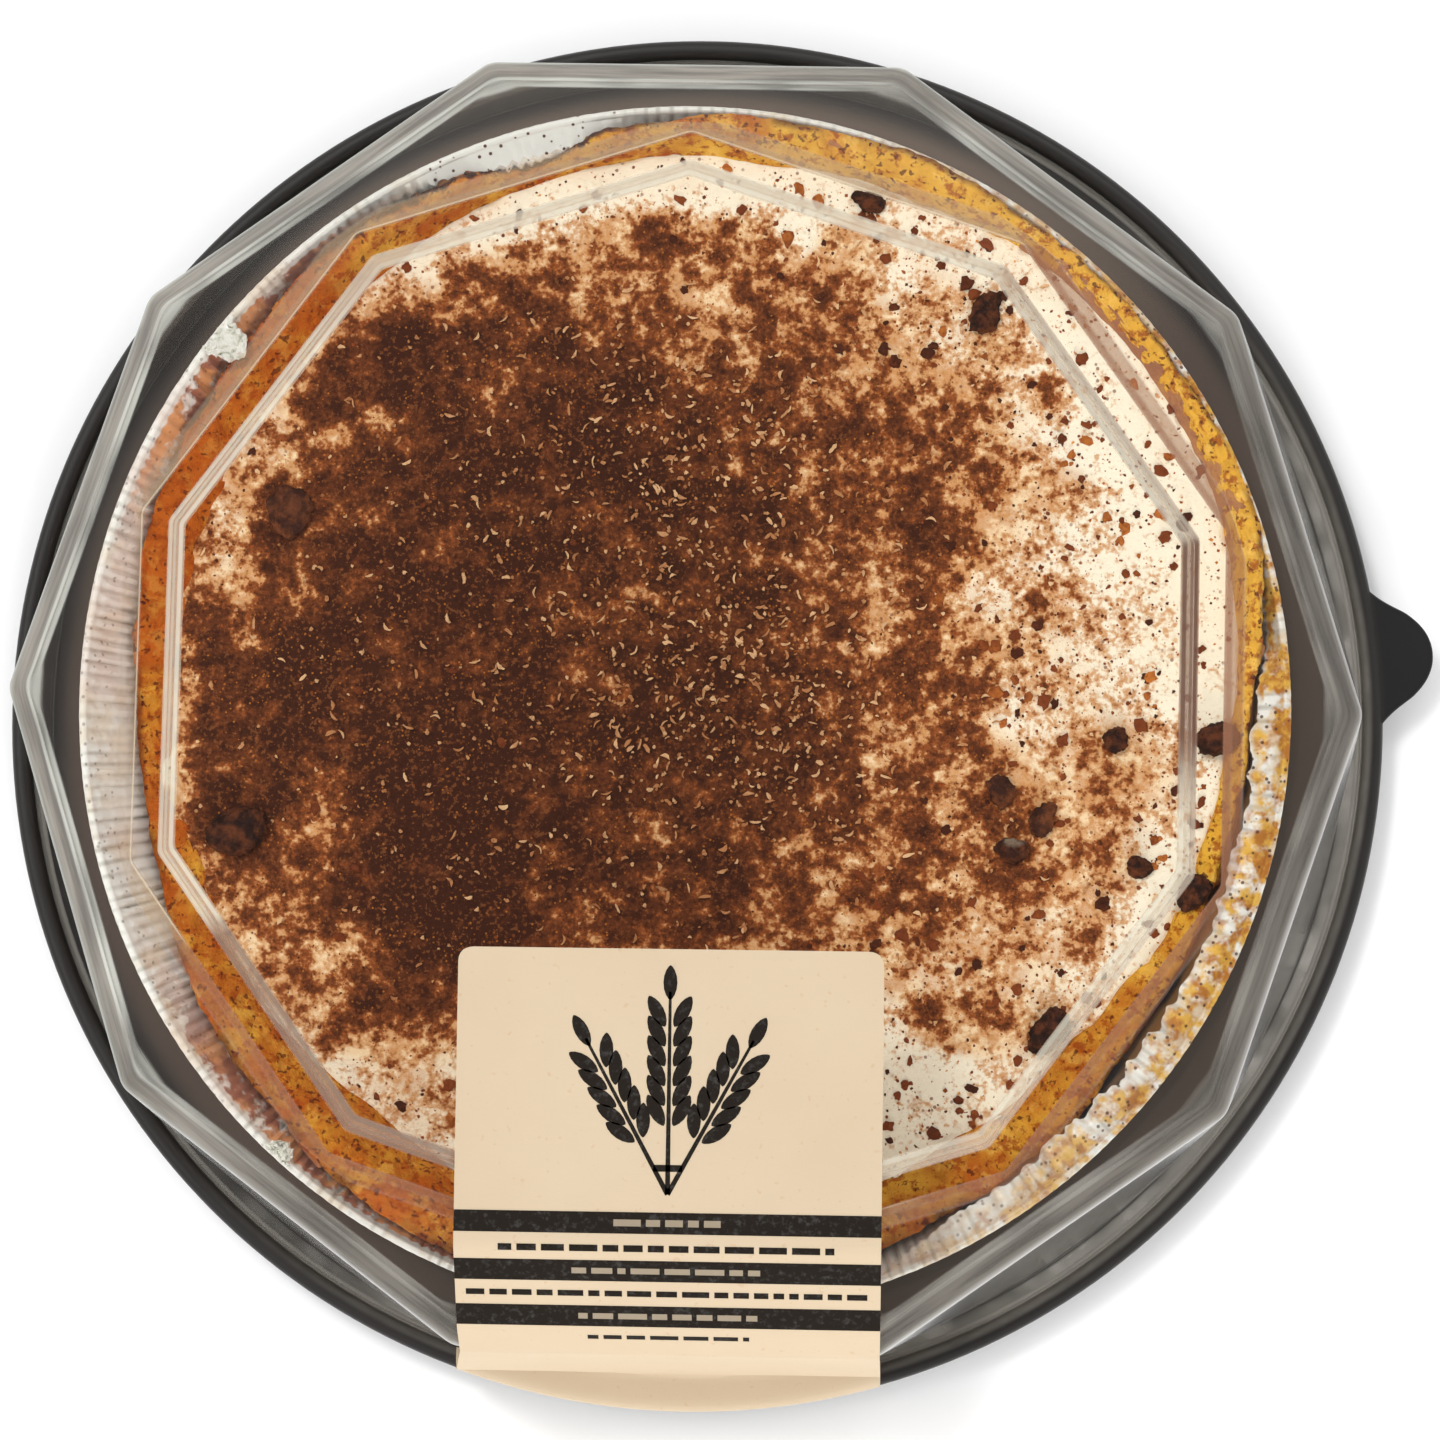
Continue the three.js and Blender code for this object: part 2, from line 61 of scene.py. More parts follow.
def addCamera():
    data = bpy.data.cameras.new("camera")
    data.lens = view["lens"]
    data.sensor_width = view["sensor"]
    data.clip_start = 0.01
    camera = bpy.data.objects.new("camera", data)
    eye = Vector(view["eye"]) * mm
    forward = (Vector(view["target"]) * mm - eye).normalized()
    upHint = Vector((math.sin(view["roll"]), math.cos(view["roll"]), 0))
    right = forward.cross(upHint).normalized()
    up = right.cross(forward)
    turn = Matrix((right, up, -forward)).transposed()
    camera.matrix_world = Matrix.Translation(eye) @ turn.to_4x4()
    bpy.context.scene.collection.objects.link(camera)
    bpy.context.scene.camera = camera


addCamera()


# Shader maths written as expressions: every operation on a Wire adds its Math node
def operator(kind, reflected=False):
    def work(self, other):
        first, second = (other, self) if reflected else (self, other)
        return self.finish.node("ShaderNodeMath", {"operation": kind}, {0: first, 1: second})
    return work


class Wire:
    __add__ = operator("ADD")
    __radd__ = operator("ADD", True)
    __sub__ = operator("SUBTRACT")
    __rsub__ = operator("SUBTRACT", True)
    __mul__ = operator("MULTIPLY")
    __rmul__ = operator("MULTIPLY", True)
    __truediv__ = operator("DIVIDE")
    __pow__ = operator("POWER")

    def __init__(self, finish, socket):
        self.finish = finish
        self.socket = socket

    def size(self):
        return self.finish.node("ShaderNodeMath", {"operation": "ABSOLUTE"}, {0: self})

    def above(self, start, end):
        # 0 below start, 1 above end, and smooth between them
        sockets = {"Value": self, "From Min": start, "From Max": end}
        return self.finish.node("ShaderNodeMapRange", {"interpolation_type": "SMOOTHSTEP"}, sockets)


class Finish:
    def __init__(self, name, world=False):
        self.home = (bpy.data.worlds if world else bpy.data.materials).new(name)
        self.home.use_nodes = True
        self.tree = self.home.node_tree
        self.tree.nodes.clear()
        self.place = self.node("ShaderNodeTexCoord", output="Generated" if world else "Object")

    def node(self, kind, settings=None, sockets=None, output=0):
        made = self.tree.nodes.new(kind)
        for name, value in (settings or {}).items():
            setattr(made, name, value)
        for key, value in (sockets or {}).items():
            if isinstance(value, Wire):
                self.tree.links.new(made.inputs[key], value.socket)
            else:
                made.inputs[key].default_value = value
        return Wire(self, made.outputs[output])

    def grain(self, size, detail=2, rough=0.5, stretch=None):
        # Noise whose features are about this size in millimetres
        spot = self.place
        if stretch:
            spot = self.node("ShaderNodeVectorMath", {"operation": "MULTIPLY"}, {0: spot, 1: stretch})
        sockets = {"Vector": spot, "Scale": 0.5 / (size * mm), "Detail": detail, "Roughness": rough}
        return self.node("ShaderNodeTexNoise", None, sockets)

    def cells(self, size):
        # Distance to the nearest of many scattered spots, about this far apart in millimetres
        return self.node("ShaderNodeTexVoronoi", None, {"Vector": self.place, "Scale": 1 / (size * mm)})

    def painted(self, name):
        # A value stored on the mesh's points
        return self.node("ShaderNodeAttribute", {"attribute_name": name}, output="Fac")

    def blend(self, share, under, over):
        settings = {"data_type": "RGBA", "clamp_factor": True}
        return self.node("ShaderNodeMix", settings, {0: share, 6: under, 7: over}, output=2)

    def bump(self, height, depth, strength=1.0):
        sockets = {"Strength": strength, "Distance": depth * mm, "Height": height}
        return self.node("ShaderNodeBump", None, sockets)

    def principled(self, **sockets):
        named = {key.replace("_", " "): value for key, value in sockets.items()}
        return self.node("ShaderNodeBsdfPrincipled", None, named)

    def along(self, axis, vector=None):
        # One part of a vector, the place by default
        return self.node("ShaderNodeSeparateXYZ", None, {0: vector or self.place}, output=axis)

    def compass(self):
        # Distance from the axis, and how far towards +X and +Y a place lies, -1 to 1
        x = self.along("X")
        y = self.along("Y")
        reach = (x * x + y * y) ** 0.5
        return reach, x / reach, y / reach

    def done(self, shader, kind="ShaderNodeOutputMaterial"):
        output = self.tree.nodes.new(kind)
        self.tree.links.new(output.inputs["Surface"], shader.socket)
        return self.home


def tone(red, green, blue):
    # A colour as a screen shows it, 0 to 255, made linear
    def linear(part):
        share = part / 255
        return share / 12.92 if share <= 0.04045 else ((share + 0.055) / 1.055) ** 2.4
    return (linear(red), linear(green), linear(blue), 1.0)


# Mesh helpers
def addMesh(name, points, faces, values=None):
    mesh = bpy.data.meshes.new(name)
    mesh.from_pydata([tuple(p) for p in points], [], faces)
    mesh.validate()
    for key, numbers in (values or {}).items():
        layer = mesh.attributes.new(key, "FLOAT", "POINT")
        layer.data.foreach_set("value", np.asarray(numbers, np.float32))
    thing = bpy.data.objects.new(name, mesh)
    bpy.context.scene.collection.objects.link(thing)
    return thing


def bands(rows, columns, closed=True):
    # Quads between neighbouring rows of points, each row going once round
    faces = []
    for row in range(rows - 1):
        for k in range(columns if closed else columns - 1):
            after = (k + 1) % columns
            faces.append((row * columns + k, row * columns + after,
                          (row + 1) * columns + after, (row + 1) * columns + k))
    return faces


def smoothFaces(thing, sharpAngle=None):
    thing.data.polygons.foreach_set("use_smooth", [True] * len(thing.data.polygons))
    if sharpAngle:
        thing.data.set_sharp_from_angle(angle=math.radians(sharpAngle))


def addModifier(thing, kind, **settings):
    made = thing.modifiers.new(kind.lower(), kind)
    for key, value in settings.items():
        setattr(made, key, value)
    return made


def finishPiece(thing, material, slot, *nodes):
    thing.data.materials.clear()
    thing.data.materials.append(material)
    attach(thing, "root")
    if nodes:
        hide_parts(*nodes)
    return thing


def polar(radius, angle, height, centre=Vector((0, 0, 0))):
    return (centre.x + radius * math.cos(angle), centre.y + radius * math.sin(angle), height)


def fixNormals(thing):
    shape = bmesh.new()
    shape.from_mesh(thing.data)
    bmesh.ops.recalc_face_normals(shape, faces=shape.faces)
    shape.to_mesh(thing.data)
    shape.free()


def ringBody(name, profiles, centre=Vector((0, 0, 0)), values=None):
    # A body from one profile of (radius, height) pairs for each angle; profiles start and end on the axis
    count = len(profiles)
    rows = len(profiles[0])
    points = [polar(max(profile[row][0], 0.02) * mm, k / count * fullTurn, profile[row][1] * mm, centre)
              for row in range(rows) for k, profile in enumerate(profiles)]
    faces = bands(rows, count)
    faces += [tuple(reversed(range(count))), tuple((rows - 1) * count + k for k in range(count))]
    thing = addMesh(name, points, faces, values)
    fixNormals(thing)
    return thing


def gridBorder(rows, columns):
    # The points round the edge of a grid, in order
    last = rows - 1
    border = list(range(columns)) + [columns * row + columns - 1 for row in range(1, rows)]
    border += [columns * last + k for k in range(columns - 2, -1, -1)]
    return border + [columns * row for row in range(last - 1, 0, -1)]


def nodeTree(name):
    # The fixed node's own surface, for resting things on it
    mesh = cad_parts[name].data
    return BVHTree.FromPolygons([v.co for v in mesh.vertices], [p.vertices[:] for p in mesh.polygons])


def ripple(angle, waves, layer):
    # Smooth noise, -1 to 1, that closes on itself once round the circle
    reach = waves / math.pi
    return noise.noise((reach * math.cos(angle) + 7.3, reach * math.sin(angle) + 3.1, layer))


print("stage 1: camera and helpers ready")


# Black tray with a rolled rim and a thumb tab
trayShape = dict(rim=134, rimWidth=3.8, skirt=6.5, wall=1, foot=104, seat=119, seatHeight=9.2, roll=1.6,
                 segments=240, tabReach=10.17, tabHalf=13.4, tabThickness=1.2, tabTurn=5.6)


def arc(centre, radius, start, end, steps):
    # Points on an arc, angles in degrees
    turns = [math.radians(start + (end - start) * k / steps) for k in range(steps + 1)]
    return [(centre[0] + radius * math.cos(t), centre[1] + radius * math.sin(t)) for t in turns]


def trayProfile():
    s = trayShape
    top = trayTop / mm
    inner = s["rim"] - s["rimWidth"]
    return [
        (0, 0), (s["foot"], 0), *arc((s["foot"], 3), 3, -80, -40, 3),
        (s["seat"] - 2.6, s["seatHeight"] - 1.8), (s["seat"], s["seatHeight"] - 1),
        (inner + 1, s["seatHeight"] - 1), (inner + 1.2, top - 1), (s["rim"] - 1, top - 1),
        (s["rim"] - 1, s["skirt"]), (s["rim"], s["skirt"]),
        *arc((s["rim"] - s["roll"], top - s["roll"]), s["roll"], 0, 90, 6),
        *arc((inner + s["roll"], top - s["roll"]), s["roll"], 90, 175, 5),
        *arc((inner - 1, s["seatHeight"] + 0.8), 0.8, 0, -90, 4),
        *arc((s["seat"] - 0.4, s["seatHeight"] - 3), 3, 90, 118, 3),
        *arc((s["foot"] - 0.4, 6), 5, -50, -90, 4), (0, 1),
    ]


def bezier(a, b, c, d, steps):
    made = []
    for k in range(steps):
        t = k / steps
        share = ((1 - t) ** 3, 3 * t * (1 - t) ** 2, 3 * t * t * (1 - t), t ** 3)
        made.append(tuple(sum(w * p[i] for w, p in zip(share, (a, b, c, d))) for i in (0, 1)))
    return made


def tabOutline():
    # Bell-shaped: flanks that curve in from the rim, and a blunt round tip
    s = trayShape
    root = s["rim"] - 1.2
    tip = s["rim"] + s["tabReach"]
    half = s["tabHalf"]
    waist = (tip - 4.4, -0.6 * half)
    flank = bezier((root, -half), (root + 2.6, 3 - half), (root + 5.5, 4.2 - half), waist, 10)
    flank += bezier(waist, (tip - 1.4, -5.6), (tip, -3), (tip, 0), 10)
    return flank + [(tip, 0)] + [(x, -y) for x, y in reversed(flank)]


def addTray():
    tray = ringBody("tray", [trayProfile()] * trayShape["segments"])
    outline = tabOutline()
    high = trayTop - 0.5 * mm
    low = high - trayShape["tabThickness"] * mm
    turn = Matrix.Rotation(math.radians(trayShape["tabTurn"]), 3, "Z")
    points = [turn @ Vector((x * mm, y * mm, z)) for z in (low, high) for x, y in outline]
    count = len(outline)
    faces = bands(2, count)
    faces += [tuple(reversed(range(count))), tuple(range(count, 2 * count))]
    tab = addMesh("tray_tab", points, faces)
    fixNormals(tab)
    smoothFaces(tray, 38)
    addModifier(tab, "BEVEL", width=0.4 * mm, segments=3, limit_method="ANGLE", angle_limit=math.radians(35))
    smoothFaces(tab, 35)
    finish = Finish("black_plastic")
    haze = finish.grain(14, 3, 0.6)
    scratch = finish.grain(0.8, 2, 0.5, stretch=(1, 10, 1)).above(0.62, 0.74)
    colour = finish.blend(haze, tone(20, 16, 14), tone(32, 28, 25))
    # Inside the rim one side is paler with a painted sheen
    reach, east, north = finish.compass()
    streak = finish.grain(2.5, 2, 0.5, stretch=(1, 1, 4))
    inRim = reach.above(0.1262, 0.1285) * (1 - reach.above(0.1308, 0.1322))
    paintedSheen = inRim * (east - north).above(-0.3, 0.9) * (0.45 + 0.7 * streak)
    # The seat inside the rim is a paler grey-brown, and paler still towards +Y as painted light
    seat = finish.blend(north.above(0.5, 0.95), tone(76, 62, 52), tone(104, 88, 76))
    inside = finish.blend(1 - reach.above(0.121, 0.126), colour, seat)
    edged = finish.blend(reach.above(0.1334, 0.1346), inside, tone(6, 4, 4))
    withPaintedSheen = finish.blend(paintedSheen, edged, tone(96, 92, 86))
    material = finish.done(finish.principled(
        Base_Color=withPaintedSheen, Roughness=0.34 + 0.14 * haze + 0.1 * scratch, Specular_IOR_Level=0.42,
        Normal=finish.bump(finish.grain(20, 2, 0.5), 0.35, 0.5)))
    finishPiece(tray, material, "tray", "base_tray")
    finishPiece(tab, material, "tray")


addTray()
print("stage 2: tray")


# Foil dish: fine pleats down the wall, a rolled rim, crinkles, and flaps folded in over the pastry
dishShape = dict(
    floor=1.3, sheet=0.35, base=95, roll=0.95, rimHeight=33, pleats=300, pleatDepth=0.55, perPleat=5,
    steps=(3.8, 10, 17, 20, 22, 23.5, 25, 26, 27, 27.7, 28.3, 28.8, 29.2, 29.6, 30, 30.4, 30.8, 31.3),
    fold=dict(start=-68, end=8, height=29.0, reach=1.0, depth=3.9),
    bare=dict(start=94, end=120), shelf=3.2, stained=[dict(start=116, end=168), dict(start=-156, end=-96)],
    flaps=[dict(angle=142, length=7.6, width=8.6, seed=5), dict(angle=-131, length=3.5, width=6, seed=11)],
)
dishShape["rim"] = (dishHigh.x - dishLow.x) / 2 / mm


def dishWall(height):
    # Inside of the wall at a height
    s = dishShape
    low = (s["base"] - 0.5, s["floor"])
    high = (s["rim"] - 2 * s["roll"] - 0.4, s["rimHeight"] - s["roll"])
    return low[0] + (high[0] - low[0]) * (height - low[1]) / (high[1] - low[1])


def stretchAt(angle, stretch, fade):
    # 0 to 1: within a stretch of the circle, with soft ends
    turn = (math.degrees(angle) + 180) % 360 - 180
    rise = min(max((turn - stretch["start"]) / fade, 0), 1)
    fall = min(max((stretch["end"] - turn) / fade, 0), 1)
    return rise * fall


def pleatWave(angle):
    # A fold pressed flat on both sides, -1 to 1, whose pitch wanders a little
    phase = angle * dishShape["pleats"] + 3.4 * ripple(angle, 40, 8.1)
    return math.asin(math.sin(phase)) / (math.pi / 2)


def dishColumn(angle):
    s = dishShape
    fold = stretchAt(angle, s["fold"], 8)
    pleat = s["pleatDepth"] * pleatWave(angle) * (0.75 + 0.8 * ripple(angle, 60, 1.1)) * (1 - 0.85 * fold)
    hub = (s["rim"] - s["roll"], s["rimHeight"] - s["roll"])
    shelf = stretchAt(angle, s["bare"], 8) * s["shelf"]
    scallop = 0.85 + 0.8 * ripple(angle, 70, 5.5) + 0.5 * ripple(angle, 150, 6.5)

    def creased(height, pressed=1):
        where = Vector((math.cos(angle) * 30, math.sin(angle) * 30, height / 4))
        soft = noise.noise(where) * 0.55 + noise.noise(where * 2.7) * 0.35
        fade = min((height - s["floor"]) / 8, 1)
        near = math.exp(-((height - s["fold"]["height"] - 0.9 * scallop) / s["fold"]["reach"]) ** 2)
        push = fold * near * s["fold"]["depth"] * min(max(scallop, 0.66), 1.15)
        push += shelf * min(max((height - 25) / 5, 0), 1) * (1 + 0.3 * soft)
        return dishWall(height) + (pleat + 0.25 + soft * 0.5) * fade - push * pressed

    outer = [(creased(h, 0) + s["sheet"], h) for h in s["steps"]]
    dent = 0.16 * ripple(angle, 90, 2.2) + 0.1 * ripple(angle, 230, 4.2)
    roll = []
    for turn in range(-130, 171, 25):
        reach = s["roll"] - 0.15 + 0.03 * pleatWave(angle)
        roll.append((hub[0] + reach * math.cos(math.radians(turn)) - abs(dent) * 0.4,
                     hub[1] + reach * math.sin(math.radians(turn)) + min(dent, 0)))
    inner = [(creased(h), h) for h in reversed(s["steps"])]
    return [(0, s["floor"]), (s["base"], s["floor"])] + outer + roll + inner + [
        (s["base"] - 0.8, s["floor"] + s["sheet"]), (0, s["floor"] + s["sheet"])]


def addFlap(spec):
    # A crumpled tongue of foil: a small grid pushed about by seeded noise
    draw = random.Random(spec["seed"])
    start = dishShape["rim"] - 2 * dishShape["roll"] + 1.2
    across, along = 16, 14
    shift = draw.uniform(0, 50)
    turn = Matrix.Rotation(math.radians(spec["angle"]), 3, "Z")
    points = []
    for j in range(along):
        for i in range(across):
            u = i / (across - 1) - 0.5
            v = j / (along - 1)
            crumple = Vector((u * 7 + shift, v * 7, shift))
            width = spec["width"] * (1 - 0.35 * v) * u + 0.8 * noise.noise(crumple)
            reach = start - v * spec["length"] * (1 - 0.5 * abs(u)) + 0.5 * noise.noise(crumple * 1.7)
            lift = dishShape["rimHeight"] + 0.5
            lift = lift + 1.6 * noise.noise(crumple * 1.3) + 0.9 * noise.noise(crumple * 3)
            spot = turn @ Vector((reach, width, 0))
            points.append((tartCentre.x + spot.x * mm, tartCentre.y + spot.y * mm, lift * mm))
    thing = addMesh(f"foil_flap_{spec['seed']}", points, bands(along, across, closed=False))
    addModifier(thing, "SOLIDIFY", thickness=0.15 * mm, offset=0)
    return thing


def addDish():
    s = dishShape
    columns = s["pleats"] * s["perPleat"]
    angles = [k / columns * fullTurn for k in range(columns)]
    profiles = [dishColumn(angle) for angle in angles]
    rows = len(profiles[0])
    outside = 2 + len(s["steps"])
    values = {
        "bare": [stretchAt(angle, s["bare"], 4) for angle in angles] * rows,
        "valley": [0.5 + 0.5 * pleatWave(angle) for angle in angles] * rows,
        "stained": [max(stretchAt(angle, part, 14) for part in s["stained"]) for angle in angles] * rows,
        "inside": [0.0] * (outside * columns) + [1.0] * ((rows - outside) * columns),
    }
    dish = ringBody("foil_dish_pleated", profiles, tartCentre, values)
    smoothFaces(dish, 40)
    finish = Finish("aluminium_foil")
    crinkle = finish.cells(1.9) * 0.6 + finish.grain(1.2, 3, 0.6)
    dull = finish.grain(5, 3, 0.6)
    # Fat from the pastry stains it golden in patches, and crumbs stick where the pastry has drawn back.
    # Towards +X the gold is stronger and the upper wall turns amber, a painted reflection of the pastry
    clean = finish.painted("bare")
    inside = finish.painted("inside")
    right = (finish.along("X") * 12).above(0.1, 1.2) * inside
    left = (finish.along("X") * -12).above(0.7, 1.2) * inside
    height = finish.along("Z")
    golden = height.above(0.0298, 0.0306) * right * finish.grain(2.4, 3, 0.65).above(0.38, 0.56)
    greaseAndReflection = finish.grain(5, 3, 0.6).above(0.46, 0.64) * (0.3 + 0.3 * right) * (1 - clean) * inside
    # The pleats' valleys are painted darker, as shade in the folds
    valley = finish.painted("valley").above(0.4, 0.95) * (1 - clean) * finish.grain(4, 2, 0.5).above(0.3, 0.7)
    creased = finish.blend(valley * 0.6, tone(248, 248, 240), tone(146, 138, 120))
    greasedAndReflected = finish.blend(greaseAndReflection, creased, tone(224, 190, 132))
    amber = finish.blend(finish.grain(1.3, 3, 0.6).above(0.4, 0.6), tone(186, 116, 22), tone(232, 182, 70))
    goldReflected = finish.blend(golden, greasedAndReflected, amber)
    # Towards -X a rosy painted reflection of the pastry
    rosyReflection = finish.blend(left * finish.grain(15, 2, 0.5).above(0.46, 0.58) * 0.3, goldReflected, tone(222, 180, 160))
    # Low on the wall towards +X, painted shade in the gap beside the pastry, golden in patches as a painted
    # reflection
    gapShade = finish.blend(finish.grain(9, 2, 0.5).above(0.5, 0.56), tone(172, 122, 62), tone(60, 38, 24))
    colour = finish.blend(right * (1 - height.above(0.0262, 0.0282)), rosyReflection, gapShade)
    # Pastry baked on to the wall, browner in places
    stuck = finish.painted("stained") * inside * (1 - height.above(0.0315, 0.0319))
    stuck = stuck * finish.grain(2.6, 3, 0.6).above(0.36, 0.48)
    crusted = finish.blend(finish.grain(3.5, 3, 0.6).above(0.42, 0.58), tone(152, 74, 32), tone(214, 140, 74))
    baked = finish.blend(stuck * 0.92, colour, crusted)
    specks = (1 - finish.cells(1.7).above(0.16, 0.24)) * (clean + right * 0.9 + left * 0.5)
    speckled = finish.blend(specks * height.above(0.0262, 0.0282), baked, tone(92, 54, 30))
    material = finish.done(finish.principled(
        Base_Color=speckled, Metallic=0.4 * (1 - stuck) * (1 - 0.6 * left),
        Roughness=0.26 + 0.2 * dull + 0.3 * stuck, Normal=finish.bump(crinkle, 0.2, 0.8)))
    finishPiece(dish, material, "foil", "foil_dish")
    for spec in s["flaps"]:
        finishPiece(addFlap(spec), material, "foil")


addDish()
print("stage 3: foil dish")


# Pastry: the fixed node's outline, with a flaky, browned edge
crustShape = dict(columns=1080, across=30, search=0.25, lowest=21.6, flake=0.8, crag=0.95, crumb=0.5,
                  spill=(108.5, 111.5), skirt=2.6, skirtDrop=2.8, overhang=dict(start=118, end=164),
                  scorched=dict(start=92, end=134))
# How yellow the pastry has baked, every 30 degrees from +X; 0 is red-brown
crustTan = [1.25, 1.15, 0.9, 0.6, 0.2, 0.0, 0.08, 0.28, 0.34, 0.36, 0.42, 0.6]
crustTree = nodeTree("crust")
fillingTree = nodeTree("filling")
down = Vector((0, 0, -1))


def topAt(tree, radius, angle):
    # Height of a node's top in millimetres, or None beside it
    x, y, _ = polar(radius * mm, angle, 0, tartCentre)
    hit = tree.ray_cast(Vector((x, y, 0.06)), down)[0]
    return hit.z / mm if hit else None


def crustEdges(angle):
    # Inner and outer edge of the rim that shows: it starts where it rises over the cream's edge
    s = crustShape
    radius = 116.0
    while (topAt(crustTree, radius, angle) or 0) < s["lowest"]:
        radius -= s["search"]
    outer = radius
    while (topAt(fillingTree, radius, angle) or 0) < s["lowest"]:
        radius -= s["search"]
    level = topAt(fillingTree, radius, angle)
    while (topAt(crustTree, radius, angle) or 0) < level + 0.35 and radius < outer - 2:
        radius += s["search"]
    return radius, outer


def evened(values, reach):
    # Median along the circle, which passes over a hollow or a flap's slot
    count = len(values)
    return [sorted(values[(k + d) % count] for d in range(-reach, reach + 1))[reach] for k in range(count)]


edgeCount = 360
edgePairs = [crustEdges(k / edgeCount * fullTurn) for k in range(edgeCount)]
innerEdges = evened([pair[0] for pair in edgePairs], 2)
outerEdges = evened([pair[1] for pair in edgePairs], 2)


def edgeAt(edges, angle):
    place = (angle / fullTurn * edgeCount) % edgeCount
    k = int(place)
    share = place - k
    return edges[k % edgeCount] * (1 - share) + edges[(k + 1) % edgeCount] * share


def insideWall(radius, height):
    if height > dishShape["rimHeight"] - 0.2:
        return radius
    return min(radius, dishWall(height) - 1.0)


def crustColumn(angle):
    # One cross-section from the middle of the bed, over the rim and down the outside to the middle again
    s = crustShape
    inner = edgeAt(innerEdges, angle) - 0.3
    flake = 0.5 * ripple(angle, 190, 3.3) + 0.6 * ripple(angle, 80, 4.3)
    outer = edgeAt(outerEdges, angle) - 0.2 + s["flake"] * flake + 1.3 * stretchAt(angle, s["overhang"], 10)
    outer += 1.1 * stretchAt(angle, s["scorched"], 8) * ripple(angle, 150, 9.3)
    outer = min(outer, dishShape["rim"] - 0.6)
    column = []
    for i in range(s["across"]):
        share = i / (s["across"] - 1)
        radius = inner + (outer - inner) * share
        height = topAt(crustTree, min(radius, outer - 0.3), angle) or s["lowest"]
        where = Vector((radius * math.cos(angle), radius * math.sin(angle), 2.0)) / 3.4
        ridge = 1 - abs(noise.noise(where)) * 2.4
        fine = noise.noise(where * 2.7) + 0.6 * noise.noise(where * 6.1)
        edge = math.sin(math.pi * share) ** 0.4 if 0 < share < 1 else 0
        column.append((radius, height + edge * (s["crag"] * (ridge - 0.5) + s["crumb"] * fine)))
    crown = column[-1][1]
    low, high = s["spill"]
    share = min(max((outer - low) / (high - low), 0), 1)
    spill = share * share * (3 - 2 * share)
    wallRadius = min(outer - 0.25, dishWall(30.4) - 1.1)
    lip = min(crown - 0.3, (crown - 1.2) * (1 - spill) + (dishShape["rimHeight"] + 0.42) * spill)
    column[-1] = (outer, crown - 0.25)
    # Where it stays inside the foil, a darker slope leads down to the wall
    foot = crown - s["skirtDrop"] * (1 - spill)
    reach = outer + (min(s["skirt"], max(dishWall(foot) - 0.75 - outer, 0)) * (1 - spill))
    slope = [(outer, crown - 0.3 - 0.1 * k) for k in range(3)]
    if spill < 0.5:
        slope = [(outer * (1 - t) + reach * t,
                  (crown - 0.3) * (1 - t) + foot * t - 0.5 * t * (1 - t) + 0.3 * flake * t)
                 for t in (0.35, 0.7, 1.0)]
    lip = min(lip, slope[-1][1] - 0.2)
    wall = [(min(slope[-1][0], outer + 0.6), lip), (min(wallRadius, slope[-1][0]), lip),
            (min(wallRadius, dishWall(17) - 1.2), 17), (dishWall(10) - 1.2, 10),
            (dishWall(2.4) - 1.4, 2.15), (0, 2.15)]
    bed = [(0, 7), (90, 7), (inner - 1.6, 20.2)]
    outward = [0] * len(bed) + [i / (s["across"] - 1) for i in range(s["across"])]
    outward += [1.3, 1.7, 2.0] + [2.0] * len(wall)
    return [(insideWall(r, h), h) for r, h in bed + column + slope + wall], outward


def addCrust():
    columns = crustShape["columns"]
    made = [crustColumn(k / columns * fullTurn) for k in range(columns)]
    count = len(made[0][0])
    tan = [float(np.interp(k / columns * 12, range(13), crustTan + crustTan[:1])) for k in range(columns)]
    scorched = [stretchAt(k / columns * fullTurn, crustShape["scorched"], 8) for k in range(columns)]
    values = {"outward": [outward[row] for row in range(count) for _, outward in made],
              "tan": tan * count, "scorched": scorched * count}
    crust = ringBody("pastry", [profile for profile, _ in made], tartCentre, values)
    smoothFaces(crust, 70)
    return finishPiece(crust, crustFinish(), "crust", "crust")


def crustFinish():
    finish = Finish("baked_pastry")
    outward = finish.painted("outward")
    sunny = finish.painted("tan") + (finish.grain(6, 3, 0.6) - 0.5) * 2.3
    patch = finish.grain(2.4, 3, 0.6)
    crumb = finish.grain(1.1, 4, 0.65)
    fleck = finish.grain(0.7, 2, 0.5)
    golden = finish.blend(sunny.above(0.0, 1.0), tone(182, 90, 20), tone(230, 174, 58))
    buttery = patch.above(0.52, 0.64) * (0.15 + 0.6 * finish.painted("tan"))
    pale = finish.blend(buttery, golden, tone(242, 192, 88))
    baked = finish.blend(crumb.above(0.5, 0.62) * 0.8, pale, tone(158, 66, 10))
    rim = outward.above(0.72, 0.98) * finish.grain(6, 3, 0.6).above(0.4, 0.6)
    burnt = finish.blend(rim * 0.8 + fleck.above(0.6, 0.66) * 0.8, baked, tone(88, 32, 10))
    scorched = finish.painted("scorched")
    shaded = finish.blend(outward.above(1.05, 1.5) * 0.8 * (1 - scorched), burnt, tone(168, 112, 82))
    char = outward.above(0.72, 0.88) * scorched * crumb.above(0.34, 0.5)
    charred = finish.blend(char, shaded, tone(58, 22, 8))
    height = crumb + 0.6 * finish.grain(0.6, 2, 0.6)
    return finish.done(finish.principled(
        Base_Color=charred, Roughness=0.55 + 0.3 * crumb, Specular_IOR_Level=0.12,
        Normal=finish.bump(height, 0.85, 1.0)))


addCrust()
print("stage 4: pastry")


# Cream, seated on the fixed node's own level, with cocoa dusted over it
creamShape = dict(across=284, lattice=3.0, around=6.0, relief=0.22, dustRelief=0.34, bare=0.2,
                  underReach=102.5)
